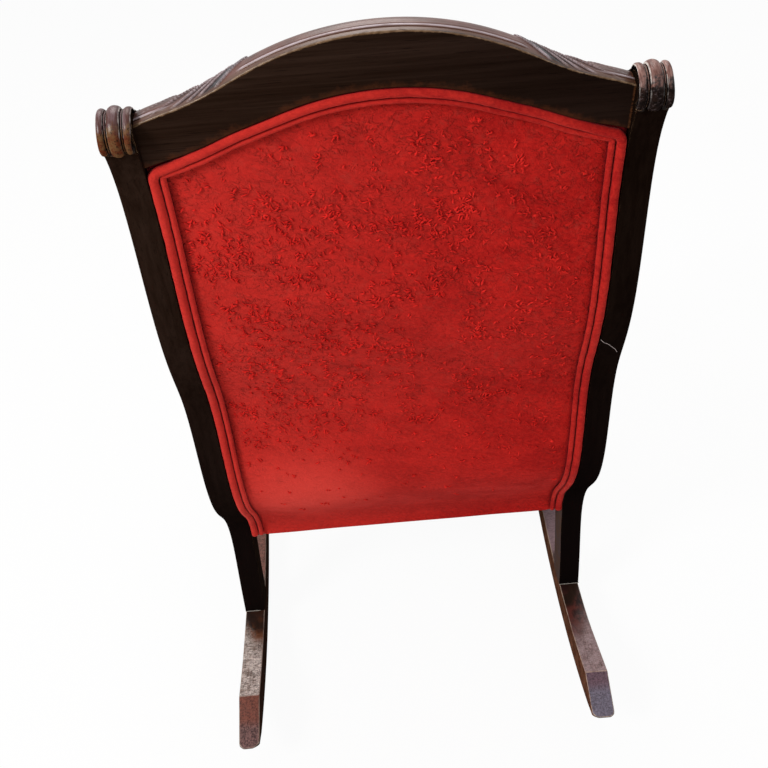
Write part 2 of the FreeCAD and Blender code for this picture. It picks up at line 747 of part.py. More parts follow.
# ---------------------------------------------------------------- upholstery of the back
def round_tube(points, diameter):
    """A cord: straight runs joined by tangent arcs, as wide as their runs allow."""
    edges, start = [], points[0]
    for before, corner, after in zip(points, points[1:], points[2:]):
        back, ahead = before - corner, after - corner
        cut = 0.45 * min(back.Length, ahead.Length)
        back.normalize()
        ahead.normalize()
        turn = math.pi - back.getAngle(ahead)
        radius = cut / math.tan(turn / 2)
        inward = (back + ahead).normalize()
        enter, leave = corner + back * cut, corner + ahead * cut
        centre_distance = math.hypot(cut, radius)
        edges += [line(start, enter), arc(enter, corner + inward * (centre_distance - radius), leave)]
        start = leave
    edges.append(line(start, points[-1]))
    path = Part.Wire(edges)
    ring = Part.Wire(Part.makeCircle(diameter / 2, points[0], points[1] - points[0]))
    return path.makePipeShell([ring], True, False)


def welt_path(inset, lift):
    """Up one side of the outside back, round under the crest and down the other side."""
    half = inner_face - inset
    low = foot_height + outside_back_rise + welt_foot
    high = foot_height + crest_foot_rise - welt_corner - inset
    curve = back_curve()
    side = []
    for step in range(welt_steps + 1):
        height = low + (high - low) * (step / welt_steps) ** welt_crowding
        sweep = depth_at(curve, height)
        slope = (depth_at(curve, height + 4) - depth_at(curve, height - 4)) / 8
        side.append(V(half, sweep - outside_back_recess + lift * math.hypot(1, slope), height))
    over = []
    for x in welt_over:
        edge_height = lower_edge_height(x * half) - inset
        over.append(crest_placed(Part.Vertex(V(x * half, lift - outside_back_recess, edge_height))).Point)
    left = side + over
    return left + [V(-p.x, p.y, p.z) for p in reversed(left[:-1])]


def lower_edge_height(x):
    """Height of the crest's lower edge at a distance from the middle, in the crest's own plane."""
    path = Part.Wire(arched(0, crest_under_arch, crest_under_radius)[0])
    plumb = line(V(x, 0, -beyond), V(x, 0, beyond))
    return path.distToShape(plumb)[1][0][0].z


def make_back_welts():
    pieces["outer_back_welt"] = round_tube(
        welt_path(outer_welt / 2 + fit, outer_welt / 2 + 3 * fit), outer_welt)
    pieces["inner_back_welt"] = round_tube(
        welt_path(outer_welt + inner_welt / 2 + 2 * fit, inner_welt / 2 + 3 * fit), inner_welt)


def back_pad_form(inset):
    """The stuffed inside back, drawn in by a distance at its front, sides, top and bottom."""
    half = inner_face - fit - inset
    rear = crest_front_depth()
    curve = back_curve()
    sections = []
    for rise, ahead, swell in back_pad_curve:
        z = foot_height + rise
        sweep = depth_at(curve, z)
        back, edge = sweep - rear, sweep - ahead + inset
        front = edge - swell
        sections.append(Part.Wire([
            line(V(-half, back, z), V(half, back, z)), line(V(half, back, z), V(half, edge, z)),
            arc(V(half, edge, z), V(0, front, z), V(-half, edge, z)),
            line(V(-half, edge, z), V(-half, back, z))]))
    form = Part.makeLoft(sections, True, False)
    form = form.common(under_crest(inset - back_pad_overlap))
    form = form.cut(back_layer(rear / 2, rear + 2 * webbing_thickness + fit, half_spacing))
    low = foot_height + back_pad_curve[0][0] + inset
    return form.common(block(-beyond, beyond, -beyond, beyond, low, beyond))


def make_back_pad():
    pieces["back_stuffing"] = solid_of(back_pad_form(cover_thickness + fit))
    pieces["inside_back_cover"] = solid_of(back_pad_form(0).cut(back_pad_form(cover_thickness)))


def make_back_webbing():
    near = crest_front_depth()
    low = foot_height + stay_rail_rise + tenon_shoulder
    sheet = back_layer(near, near + webbing_thickness, inner_face)
    sheet = sheet.common(under_crest(-back_pad_overlap * 0.7))
    level = back_layer(near + webbing_thickness, near + 2 * webbing_thickness, inner_face)
    upright, crossing = [], []
    for count in range(back_webbing_strips):
        left = (count - (back_webbing_strips - 1) / 2) * back_webbing_pitch_across - webbing_width / 2
        strip = block(left, left + webbing_width, -beyond, beyond, low, beyond)
        upright.append(solid_of(sheet.common(strip)))
        foot = foot_height + back_webbing_rise + count * back_webbing_pitch_up
        strip = block(-inner_face, inner_face, -beyond, beyond, foot, foot + webbing_width)
        crossing.append(solid_of(level.common(strip)))
    pieces["back_webbing_upright"] = Part.makeCompound(upright)
    pieces["back_webbing_level"] = Part.makeCompound(crossing)


# ---------------------------------------------------------------- sprung seat
def beside(y, offset):
    """A place in the seat's level plane, at a distance outside the splayed side line."""
    return half_spacing + offset - (y + rear_rail_back) * splay_tangent


def seat_front_y():
    """The front face of the front rail, along the tilted seat."""
    return seat_y(leg_front + front_rail_set_back)


def side_rail_outside():
    """The outer face of a side rail, outside the middle of its stile."""
    return rail_thickness - stile_thickness / 2


def seat_outline(inset, height):
    """The seat between stiles and arm posts, resting on the rails between them."""
    rear_y = seat_rear - inset
    stile_y = seat_y(stile_front_at_rail()) - seat_stile_gap - inset
    post_y = seat_y(leg_back) + seat_post_gap + inset
    front_y = seat_front_y() + seat_welt + fit + inset
    narrow = -stile_thickness / 2 - fit - inset
    wide = side_rail_outside() - seat_welt - seat_welt_gap - inset
    right = [(inner_face - fit - inset, rear_y), (inner_face - fit - inset, stile_y),
             (beside(stile_y, wide), stile_y), (beside(post_y, wide), post_y),
             (beside(post_y, narrow), post_y), (beside(front_y, narrow), front_y)]
    points = [V(x, y, height) for x, y in right] + [V(-x, y, height) for x, y in reversed(right)]
    return points


def rounded_outline(points, radius):
    """A closed outline whose corners are arcs."""
    bends = []
    for before, corner, after in zip(points[-1:] + points, points, points[1:] + points[:1]):
        back, ahead = (before - corner).normalize(), (after - corner).normalize()
        half_angle = back.getAngle(ahead) / 2
        cut = radius / math.tan(half_angle)
        top = corner + (back + ahead).normalize() * (radius / math.sin(half_angle) - radius)
        bends.append((corner + back * cut, top, corner + ahead * cut))
    edges = [arc(*bend) for bend in bends]
    edges += [line(bend[2], following[0]) for bend, following in zip(bends, bends[1:] + bends[:1])]
    return Part.Wire(Part.__sortEdges__(edges))


def crown_outline(inset, height):
    rear_y, front_y = seat_rear - inset, seat_front_y() + seat_welt + fit + inset
    rear_x = inner_face - fit - inset
    front_x = beside(front_y, -stile_thickness / 2 - fit - inset)
    return rounded_outline([V(rear_x, rear_y, height), V(front_x, front_y, height),
                            V(-front_x, front_y, height), V(-rear_x, rear_y, height)], seat_corner)


def seat_form(inset):
    base = polygon(seat_outline(inset, 0)).extrude(V(0, 0, seat_pad_border - inset))
    border = seat_pad_border - inset
    outlines = [crown_outline(inset, border - lap)]
    outlines += [crown_outline(inset + step_in, border + rise) for step_in, rise in seat_swell]
    return base.fuse(Part.makeLoft(outlines, True, True)).removeSplitter()


def hessian_form(inset):
    """Sacking over the springs, tacked to the tops of the rails."""
    edge = hessian_inset + inset
    return Part.makeLoft([crown_outline(edge, 0), crown_outline(edge + spring_rise, spring_rise - inset)],
                         True, True)


def coil_spring(x, y):
    """An hourglass coil, bent from wire in short straight lengths."""
    bottom, top = -rail_depth, spring_rise - hessian_thickness - fit
    steps = spring_chords * spring_turns
    points = []
    for step in range(steps + 1):
        share = step / steps
        radius = spring_waist + (spring_radius - spring_waist) * (2 * share - 1) ** 2
        turn = 2 * math.pi * spring_turns * share
        height = bottom + spring_wire / 2 + fit + share * (top - bottom - spring_wire - 2 * fit)
        points.append(V(x + radius * math.cos(turn), y + radius * math.sin(turn), height))
    path = Part.makePolygon(points)
    half = spring_wire / 2
    along = (points[1] - points[0]).normalize()
    out = along.cross(UP).normalize()
    up = out.cross(along)
    corners = [points[0] + out * a * half + up * b * half for a, b in ((1, 1), (-1, 1), (-1, -1), (1, -1))]
    return path.makePipeShell([Part.makePolygon(corners + [corners[0]])], True, True, 1)


def make_seat_inside():
    front, rear = seat_front_y() + rail_thickness, seat_y(rear_rail_front)
    springs, lengthwise, crosswise = [], [], []
    for column in range(spring_columns):
        x = (column - (spring_columns - 1) / 2) * 2 * inner_face / (spring_columns + 0.4)
        strip = block(x - webbing_width / 2, x + webbing_width / 2, front - rail_thickness * 0.7,
                      rear + rail_thickness * 0.7, -rail_depth - webbing_thickness, -rail_depth)
        lengthwise.append(seat_tilted(strip))
    for row in range(spring_rows):
        y = front + (row + 0.5) * (rear - front) / spring_rows
        half = beside(y, -stile_thickness * 0.1)
        strip = block(-half, half, y - webbing_width / 2, y + webbing_width / 2,
                      -rail_depth - 2 * webbing_thickness, -rail_depth - webbing_thickness)
        crosswise.append(seat_tilted(strip))
        for column in range(spring_columns):
            x = (column - (spring_columns - 1) / 2) * 2 * inner_face / (spring_columns + 0.4)
            springs.append(seat_tilted(coil_spring(x, y)))
    pieces["seat_webbing_lengthwise"] = Part.makeCompound(lengthwise)
    pieces["seat_webbing_crosswise"] = Part.makeCompound(crosswise)
    pieces["seat_springs"] = Part.makeCompound(springs)
    hessian = hessian_form(0).cut(hessian_form(hessian_thickness))
    pieces["spring_hessian"] = seat_tilted(solid_of(hessian))
    stuffing = seat_form(cover_thickness + fit).cut(hessian_form(-fit))
    pieces["seat_stuffing"] = seat_tilted(solid_of(stuffing))
    pieces["seat_cover"] = seat_tilted(solid_of(seat_form(0).cut(seat_form(cover_thickness))))


def make_seat_welt():
    """Cord along the foot of the seat's front and sides."""
    lift = seat_welt / 2
    front_y = seat_front_y() + seat_welt / 2
    wide = side_rail_outside() - seat_welt / 2 - seat_welt_gap + fit
    stile_y = seat_y(stile_front_at_rail()) - seat_stile_gap - seat_welt_gap
    post_y = seat_y(leg_back) + seat_post_gap + seat_welt_gap
    reach = beside(front_y, -stile_thickness / 2) - seat_welt_gap
    front = rod(V(-reach, front_y, lift), ACROSS, 2 * reach, seat_welt)
    start, end = V(beside(stile_y, wide), stile_y, lift), V(beside(post_y, wide), post_y, lift)
    side = rod(start, end - start, (end - start).Length, seat_welt)
    cords = [seat_tilted(cord) for cord in (front, side, mirrored(side))]
    pieces["seat_welt"] = Part.makeCompound(cords)


def make_dust_cover():
    """Thin black cloth under the seat, and the round-headed tacks that hold it."""
    top = -rail_depth - 2 * webbing_thickness
    rear_y, front_y = seat_y(rear_rail_front) + dust_cover_rear_lap, seat_front_y() + dust_cover_lap
    stile_y = seat_y(stile_front_at_rail()) - dust_cover_notch
    post_y = seat_y(leg_back) + dust_cover_notch
    wide, narrow = dust_cover_lap / 2, -stile_thickness / 2 - lap
    corners = [(inner_face - lap, rear_y), (inner_face - lap, stile_y), (beside(stile_y, wide), stile_y),
               (beside(post_y, wide), post_y), (beside(post_y, narrow), post_y),
               (beside(front_y, narrow), front_y)]
    points = [V(x, y, top) for x, y in corners] + [V(-x, y, top) for x, y in reversed(corners)]
    cloth = polygon(points).extrude(V(0, 0, -dust_cover_thickness))
    pieces["dust_cover"] = seat_tilted(cloth)
    tacks = []
    middle_y = (rear_y + front_y) / 2
    inner_points = [p + V(-math.copysign(tack_inset, p.x), math.copysign(tack_inset, middle_y - p.y),
                          -dust_cover_thickness) for p in points]
    for start, end in zip(inner_points, inner_points[1:] + inner_points[:1]):
        count = max(1, round((end - start).Length / tack_pitch))
        for i in range(count):
            place = start + (end - start) * (i / count)
            tacks.append(seat_tilted(rod(place, V(0, 0, -1), tack_thickness, tack_head)))
    pieces["dust_cover_tacks"] = Part.makeCompound(tacks)


def finish():
    footprint = pieces["runner_left"].BoundBox
    centre = (footprint.YMin + footprint.YMax) / 2
    os.makedirs("parts", exist_ok=True)
    for name, shape in pieces.items():
        shape.translate(V(0, -centre, 0))
        shape.exportStep("parts/" + name + ".step")
        print(name, len(shape.Solids), round(shape.Volume / 1000, 1), shape.isValid())


make_stiles()
make_runners()
make_front_legs()
make_arms()
make_arm_posts()
make_arm_pads()
make_crest()
make_seat_rails()
make_stay_rail()
make_outside_back()
make_dowels()
make_screws(make_corner_blocks())
make_back_welts()
make_back_pad()
make_back_webbing()
make_seat_inside()
make_seat_welt()
make_dust_cover()
finish()
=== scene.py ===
import math
import random

import bmesh
import bpy
from mathutils import Matrix, Vector, noise
from mathutils.bvhtree import BVHTree


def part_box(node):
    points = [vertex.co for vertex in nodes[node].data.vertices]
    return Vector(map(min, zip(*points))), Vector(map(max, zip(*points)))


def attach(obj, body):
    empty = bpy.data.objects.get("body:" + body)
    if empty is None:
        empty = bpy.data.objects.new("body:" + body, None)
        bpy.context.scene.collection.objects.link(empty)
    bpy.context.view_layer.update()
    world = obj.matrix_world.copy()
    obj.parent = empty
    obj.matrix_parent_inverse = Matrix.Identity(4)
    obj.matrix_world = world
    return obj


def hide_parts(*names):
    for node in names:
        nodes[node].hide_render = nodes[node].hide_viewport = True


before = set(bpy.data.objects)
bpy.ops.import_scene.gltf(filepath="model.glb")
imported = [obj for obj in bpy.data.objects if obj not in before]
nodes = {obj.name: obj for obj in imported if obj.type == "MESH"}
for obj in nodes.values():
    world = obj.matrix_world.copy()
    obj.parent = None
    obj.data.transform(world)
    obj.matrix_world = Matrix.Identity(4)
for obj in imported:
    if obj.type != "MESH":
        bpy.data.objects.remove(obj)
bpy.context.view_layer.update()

mm = 0.001
sides = (("left", 1), ("right", -1))
print("frame loaded:", len(nodes), "nodes")


def soften(value, low, high):  # 0 below low, 1 above high, smooth between
    share = min(1.0, max(0.0, (value - low) / (high - low)))
    return share * share * (3 - 2 * share)


def lumps(point, size, seed=0.0):  # smooth noise, -1 to 1, with lumps of that size
    return noise.noise(Vector(point) / size + Vector((seed, seed * 1.7, -seed)))


def opened(mesh):  # a shape to work on
    shape = bmesh.new()
    shape.from_mesh(mesh)
    return shape


def closed(shape, mesh):  # the work goes back into the mesh
    shape.to_mesh(mesh)
    shape.free()
    return mesh


def placed(name, data):  # an object in the scene
    piece = bpy.data.objects.new(name, data)
    bpy.context.scene.collection.objects.link(piece)
    return piece


def smoothed(mesh):
    mesh.polygons.foreach_set("use_smooth", [True] * len(mesh.polygons))


def weld(shape, distance=0.00001):
    bmesh.ops.remove_doubles(shape, verts=shape.verts, dist=distance)


def outwards(shape):
    weld(shape)
    bmesh.ops.recalc_face_normals(shape, faces=shape.faces)


searchTrees = {}


def hit(node, start, direction):  # where a line first meets a node
    if node not in searchTrees:
        shape = opened(nodes[node].data)
        searchTrees[node] = BVHTree.FromBMesh(shape)
        shape.free()
    return searchTrees[node].ray_cast(Vector(start), Vector(direction))[0]


def footPlace():  # back edge of the left rear foot where it meets its runner
    middle = (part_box("runner_left")[0].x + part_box("runner_left")[1].x) / 2
    level = 80 * mm
    for _ in range(3):
        back = hit("stile_left", (middle, 1, level), (0, -1, 0)).y
        top = hit("runner_left", (middle, back + 0.5 * mm, 0.5), (0, 0, -1)).z
        level = top + 1 * mm
    return back, top


footBack, footTop = footPlace()


def finished(name, shape, material):  # a shape as a piece that rides with the chair
    mesh = closed(shape, bpy.data.meshes.new(name))
    smoothed(mesh)
    piece = placed(name, mesh)
    mesh.materials.append(material)
    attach(piece, "root")
    return piece


def tube(points, radii, sidesRound):  # a round cord along a list of points
    curve = bpy.data.curves.new("tube", "CURVE")
    curve.dimensions = "3D"
    curve.bevel_depth = 1.0
    curve.bevel_resolution = sidesRound // 2 - 2
    curve.use_fill_caps = True
    line = curve.splines.new("POLY")
    line.points.add(len(points) - 1)
    for point, place, radius in zip(line.points, points, radii):
        point.co = (*place, 1)
        point.radius = radius
    holder = bpy.data.objects.new("tube", curve)
    mesh = bpy.data.meshes.new_from_object(holder)
    shape = opened(mesh)
    bpy.data.objects.remove(holder)
    bpy.data.meshes.remove(mesh)
    outwards(shape)
    return shape


class Value:  # a node's output that can be reckoned with
    def __init__(self, net, socket):
        self.net, self.socket = net, socket

    def __add__(self, other):
        return self.net.math("ADD", self, other)

    def __mul__(self, other):
        return self.net.math("MULTIPLY", self, other)

    def __sub__(self, other):
        return self.net.math("SUBTRACT", self, other)

    def __rsub__(self, other):
        return self.net.math("SUBTRACT", other, self)

    def __abs__(self):
        return self.net.math("ABSOLUTE", self)

    def clamped(self):
        self.socket.node.use_clamp = True
        return self


class Made:  # a node whose outputs are read, and whose inputs are set, by name
    def __init__(self, net, node):
        self.net, self.node = net, node

    def __getitem__(self, name):
        return Value(self.net, self.node.outputs[name])

    def __setitem__(self, name, value):
        socket = self.node.inputs[name]
        if isinstance(value, Value):
            self.net.tree.links.new(value.socket, socket)
        else:
            socket.default_value = (*value, 1) if socket.type == "RGBA" else value


class Net:  # a node tree, with short words for what is drawn in it
    def __init__(self, tree):
        self.tree = tree

    def add(self, kind, inputs=None, **settings):
        made = Made(self, self.tree.nodes.new("ShaderNode" + kind))
        for name, value in settings.items():
            setattr(made.node, name, value)
        for name, value in (inputs or {}).items():
            made[name] = value
        return made

    def use(self, group, inputs):
        return self.add("Group", inputs, node_tree=group.tree)

    def math(self, operation, first, second=0.0):
        return self.add("Math", {0: first, 1: second}, operation=operation)[0]

    def largest(self, first, second):
        return self.math("MAXIMUM", first, second)

    def mix(self, share, first, second):
        return self.add("Mix", {0: share, 6: first, 7: second}, data_type="RGBA")[2]

    def ramp(self, value, low, high, toLow=0.0, toHigh=1.0):
        limits = {0: value, 1: low, 2: high, 3: toLow, 4: toHigh}
        return self.add("MapRange", limits, interpolation_type="SMOOTHSTEP")[0]

    def mapped(self, vector, turn=(0, 0, 0), scale=(1, 1, 1)):
        return self.add("Mapping", {0: vector, 2: turn, 3: scale})[0]

    def noise(self, vector, scale, detail=3.0, distortion=0.0, roughness=0.5, stretch=None):
        if stretch:
            vector = self.mapped(vector, scale=stretch)
        return self.add("TexNoise", {"Vector": vector, "Scale": scale, "Detail": detail,
                                     "Distortion": distortion, "Roughness": roughness})[0]

    def attribute(self, name):
        return self.add("Attribute", attribute_name=name)["Fac"]

    def split(self, vector):
        return self.add("SeparateXYZ", {0: vector})

    def facing(self):
        return self.split(self.add("NewGeometry")["Normal"])

    def openness(self, distance, samples):
        return self.add("AmbientOcclusion", {"Distance": distance}, samples=samples)["AO"]

    def bump(self, height, distance):
        return self.add("Bump", {"Height": height, "Distance": distance, "Strength": 1.0})[0]


socketKinds = {"Vector": "Vector"}
socketKinds.update(dict.fromkeys(("Color", "Dark", "Light", "Deep", "Bright", "Dusty"), "Color"))


def newGroup(name, inputs, outputs):
    tree = bpy.data.node_groups.new(name, "ShaderNodeTree")
    for direction, labels in (("INPUT", inputs), ("OUTPUT", outputs)):
        for label in labels.split():
            kind = "NodeSocket" + socketKinds.get(label, "Float")
            tree.interface.new_socket(label, in_out=direction, socket_type=kind)
    net = Net(tree)
    return net, Made(net, tree.nodes.new("NodeGroupInput")), Made(net, tree.nodes.new("NodeGroupOutput"))


def blank(name):  # a material with its net, shader and object coordinates
    material = bpy.data.materials.new(name)
    material.use_nodes = True
    net = Net(material.node_tree)
    return material, net, Made(net, net.tree.nodes["Principled BSDF"]), net.add("TexCoord")["Object"]


# Looks of the finishes
mahoganyLook = {
    "dark": (0.0150, 0.0070, 0.0040), "light": (0.034, 0.0180, 0.0122), "pore": (0.004, 0.002, 0.0015),
    # grime is painted shade, laid into crevices by an AO mask
    "worn": (0.14, 0.075, 0.036), "wornPale": (0.27, 0.165, 0.095), "grime": (0.0035, 0.0020, 0.0016),
    # dust is pale dust that also paints a lilac sheen on up-facing surfaces
    "dust": (0.20, 0.150, 0.165), "tint": (1.0, 0.80, 0.68), "rough": 0.6, "gloss": 0.32, "coatRough": 0.34,
    # shaded and falloff paint shade: the crest darker towards -X, the stiles and ears darker towards the
    # floor
    "crevice": 0.35, "creviceDepth": 9 * mm, "relief": 0.12 * mm, "shaded": (0.0042, 0.0026, 0.0026),
    "fade": {"crest": ("X", -0.26, 0.16, 0.45, 1.0), "ear": ("Z", 0.15, 0.95, 0.12, 1.0)}}
crestLook = {
    # the top band's colours are partly its finish and partly painted sheen; bandPale is a painted highlight
    "bandDeep": (0.060, 0.022, 0.016), "bandPale": (0.165, 0.070, 0.056), "bandWorn": (0.105, 0.047, 0.025),
    # rib is a painted highlight on the leaf ribs and the bead; valley is painted shade between the ribs
    "leafTip": (0.020, 0.022, 0.026), "valley": (0.018, 0.009, 0.009), "rib": (0.48, 0.40, 0.43),
    "joint": (0.20, 0.070, 0.026), "jointAt": (-0.2312, -0.2332), "scuff": (0.135, 0.038, 0.014),
    "scuffReach": 30.0}
velvetLook = {
    # bleached and faded paint light onto the back velvet: a brighter spot and a brighter side
    "bleachedAt": (0.135, 0.18, 0.37), "bleachedReach": (0.145, 0.02), "bleached": (0.80, 0.064, 0.048),
    # seam is the colour of painted shade in seams and corners
    "dusty": (0.34, 0.041, 0.029), "faded": (0.68, 0.046, 0.034), "seam": (0.10, 0.004, 0.012),
    "seamDepth": 10 * mm, "mark": (0.16, 0.006, 0.006), "sheenTint": (1.0, 0.22, 0.18),
    "nap": math.radians(24)}
earLook = {
    # rim is a painted highlight on the reed edges; each side's sheen is painted sheen on the upper reeds
    "rim": (0.72, 0.66, 0.62), "quirk": (0.006, 0.005, 0.006),
    "left": {"high": (0.070, 0.020, 0.014), "sheen": (0.145, 0.085, 0.090), "low": (0.15, 0.075, 0.032),
             "lowRed": (0.120, 0.028, 0.012), "spots": (0.020, 0.012, 0.008), "change": 0.40,
             # inner: painted shade on the left stile's low inner face
             "inner": (0.010, 0.007, 0.006)},
    "right": {"high": (0.12, 0.045, 0.034), "sheen": (0.30, 0.165, 0.14), "low": (0.008, 0.0055, 0.005),
              "lowRed": (0.018, 0.010, 0.008), "spots": (0.075, 0.055, 0.055), "change": 0.43,
              # inner: painted light on the right stile's low inner face
              "inner": (0.085, 0.050, 0.036)}}
runnerLook = {
    "tail": 202 * mm, "tip": 14 * mm, "fall": 0.31,  # foot to sawn slope, the tip's length, the slope's fall
    "crack": (0.06, 0.034, 0.028), "sideDeep": (0.07, 0.028, 0.016), "sidePale": (0.16, 0.070, 0.040),
    # bloom colours are varnish bloom and painted sheen; footDark is painted shade beside the foot
    "left": {"bloom": (0.014, 0.050), "cracks": 0.85, "bloomDeep": (0.22, 0.145, 0.11),
             "bloomPale": (0.84, 0.76, 0.70), "footDark": (0.022, 0.011, 0.008),
             "footWarm": (0.19, 0.060, 0.020),
             "ahead": (0.30, 0.135, 0.105), "slope": (0.235, 0.082, 0.056),
             "slopeDeep": (0.062, 0.023, 0.019),
             "change": 0.232, "end": (0.235, 0.130, 0.120), "endDeep": (0.045, 0.025, 0.025), "side": 0.0,
             "corner": 0.26, "crease": 190.5 * mm, "wider": 0.0, "arris": (0.40, 0.30, 0.24)},
    "right": {"bloom": (0.028, 0.110), "cracks": 0.45, "bloomDeep": (0.15, 0.078, 0.066),
              "bloomPale": (0.50, 0.38, 0.385), "footDark": (0.014, 0.006, 0.005),
              "footWarm": (0.115, 0.030, 0.022),
              "ahead": (0.33, 0.21, 0.23), "slope": (0.17, 0.105, 0.135),
              "slopeDeep": (0.065, 0.036, 0.046),
              "change": 0.226, "end": (0.21, 0.19, 0.25), "endDeep": (0.10, 0.085, 0.11), "side": 1.0,
              "corner": 0.14, "crease": 204 * mm, "wider": 2.4 * mm, "arris": (0.48, 0.36, 0.28)}}
grainTurn = {"Z": (0, 0, 0), "X": (0, math.pi / 2, 0), "Y": (math.pi / 2, 0, 0)}


def makeWoodFigure():  # grain runs along Z of the vector that comes in
    net, into, out = newGroup("woodFigure", "Vector Dark Light Pores", "Color Height")
    vector = into["Vector"]
    broad = net.noise(vector, 14, 3, 0.8, stretch=(1, 1, 0.12))
    streak = net.noise(vector, 190, 4, 0.3, 0.6, (1, 1, 0.025))
    pore = net.noise(vector, 900, 2, stretch=(1, 1, 0.04))
    figure = net.ramp(broad * 0.55 + streak * 0.45, 0.34, 0.66)
    pores = net.ramp(pore, 0.6, 0.7) * into["Pores"]
    out["Color"] = net.mix(pores, net.mix(figure, into["Dark"], into["Light"]), mahoganyLook["pore"])
    out["Height"] = streak * 0.4 - pores
    return net


def makeEdgeWear():  # 1 on rubbed outer edges, broken up by noise; Crevice is an AO mask for painted shade
    net, into, out = newGroup("edgeWear", "Vector Width Amount", "Mask Crevice")
    rounded = net.add("Bevel", {"Radius": into["Width"]}, samples=4)[0]
    normal = net.add("NewGeometry")["Normal"]
    bend = 1.0 - net.add("VectorMath", {0: rounded, 1: normal}, operation="DOT_PRODUCT")["Value"]
    openHere = net.openness(mahoganyLook["creviceDepth"], 8)
    outer = bend * net.ramp(openHere, 0.55, 0.9)
    level = outer * 6.0 + net.noise(into["Vector"], 60, 5, 0, 0.65) * 0.9
    over = level - (1.25 - into["Amount"] * 0.7)
    out["Mask"] = net.ramp(over, 0.0, 0.22) * net.ramp(outer, 0.004, 0.03)
    out["Crevice"] = net.ramp(openHere, 0.8, 0.25)
    return net


def makeDustAndSheen():  # pale dust on what faces up, which also paints a sheen
    net, into, out = newGroup("dust", "Vector Amount", "Mask")
    cloud = net.ramp(net.noise(into["Vector"], 45, 5, 0, 0.7), 0.35, 0.75)
    out["Mask"] = net.ramp(net.facing()["Z"], 0.25, 0.95) * cloud * into["Amount"]
    return net


def makeCrackle():  # fine cracks in old varnish
    net, into, out = newGroup("crackle", "Vector Scale", "Mask")
    vector = into["Vector"]
    bend = net.add("TexNoise", {"Vector": vector, "Scale": 90.0})["Color"]
    shift = net.add("VectorMath", {0: bend, 3: 0.006}, operation="SCALE")[0]
    vector = net.add("VectorMath", {0: vector, 1: shift}, operation="ADD")[0]
    cells = net.add("TexVoronoi", {"Vector": vector, "Scale": into["Scale"]}, feature="DISTANCE_TO_EDGE")
    out["Mask"] = net.ramp(cells["Distance"], 0.12, 0.02)
    return net


def makePile():  # cut pile of a worn velvet: shade, matted pills with a painted highlight and lean of the nap
    net, into, out = newGroup("pile", "Vector Deep Bright Dusty Brushing Wear", "Color Height Lean")
    vector, wear = into["Vector"], into["Wear"]
    tilted = net.mapped(vector, (0, velvetLook["nap"], 0))
    pebble = net.noise(tilted, 270, 3, 0.6, 0.6, (0.75, 1, 1))
    patch = net.ramp(net.noise(tilted, 17, 5, 1.2, 0.6, (0.5, 1, 1)), 0.36, 0.64)
    worn = net.ramp(net.split(vector)["Z"], 0.38, 0.60, 0.10, 1.0) * wear
    crowd = net.ramp(net.noise(tilted, 30, 3, 0.5), 0.38, 0.60, 0.25, 1.0)
    lump = net.ramp(net.noise(tilted, 125, 4, 1.0, 0.62, (0.8, 1, 1)), 0.50, 0.64) * crowd * worn
    haze = net.ramp(net.noise(tilted, 70, 5, 0.3, 0.7), 0.50, 0.72) * worn
    haze = (haze * (0.42 - lump)).clamped()
    crease = net.noise(tilted, 95, 3, 1.5, 0.6, (0.22, 1, 1))
    line = net.ramp(abs(crease - 0.5), 0.018, 0.0) * net.ramp(net.noise(vector, 40, 2), 0.5, 0.62, 0.0, 0.6)
    speck = net.ramp(net.noise(vector, 330, 2, 0.4, 0.5), 0.68, 0.74)
    fine = net.noise(vector, 1100, 2, 0, 0.7) * 0.25 + pebble * 0.75
    shade = net.ramp(fine, 0.34, 0.66) * 0.62 + patch * into["Brushing"]
    # painted highlight: the matted pills are made lighter
    shade = (shade + lump * 0.5).clamped()
    colour = net.mix(haze, net.mix(shade, into["Deep"], into["Bright"]), into["Dusty"])
    marks = net.largest(line, speck) * (wear * 0.8)
    out["Color"] = net.mix(marks, colour, velvetLook["mark"])
    out["Height"] = fine * 0.55 + lump - marks * 0.3
    out["Lean"] = patch
    return net


def makeWeave():  # plain weave in the two flat directions of a vector
    net, into, out = newGroup("weave", "Vector Pitch", "Height Gap")
    split = net.split(into["Vector"])
    turns = [net.math("DIVIDE", split[axis], into["Pitch"]) for axis in "XY"]
    waves = [abs(net.math("SINE", turn * math.pi)) for turn in turns]
    over = net.math("PINGPONG", net.math("FLOOR", turns[0]) + net.math("FLOOR", turns[1]), 1.0)
    out["Height"] = net.add("Mix", {0: over, 2: waves[0], 3: waves[1]}, data_type="FLOAT")[0]
    out["Gap"] = net.ramp(net.largest(*waves), 0.55, 0.2)
    return net


woodFigure, edgeWear, dustAndSheenOn = makeWoodFigure(), makeEdgeWear(), makeDustAndSheen()
crackle, pile, weave = makeCrackle(), makePile(), makeWeave()
print("shared effects made")


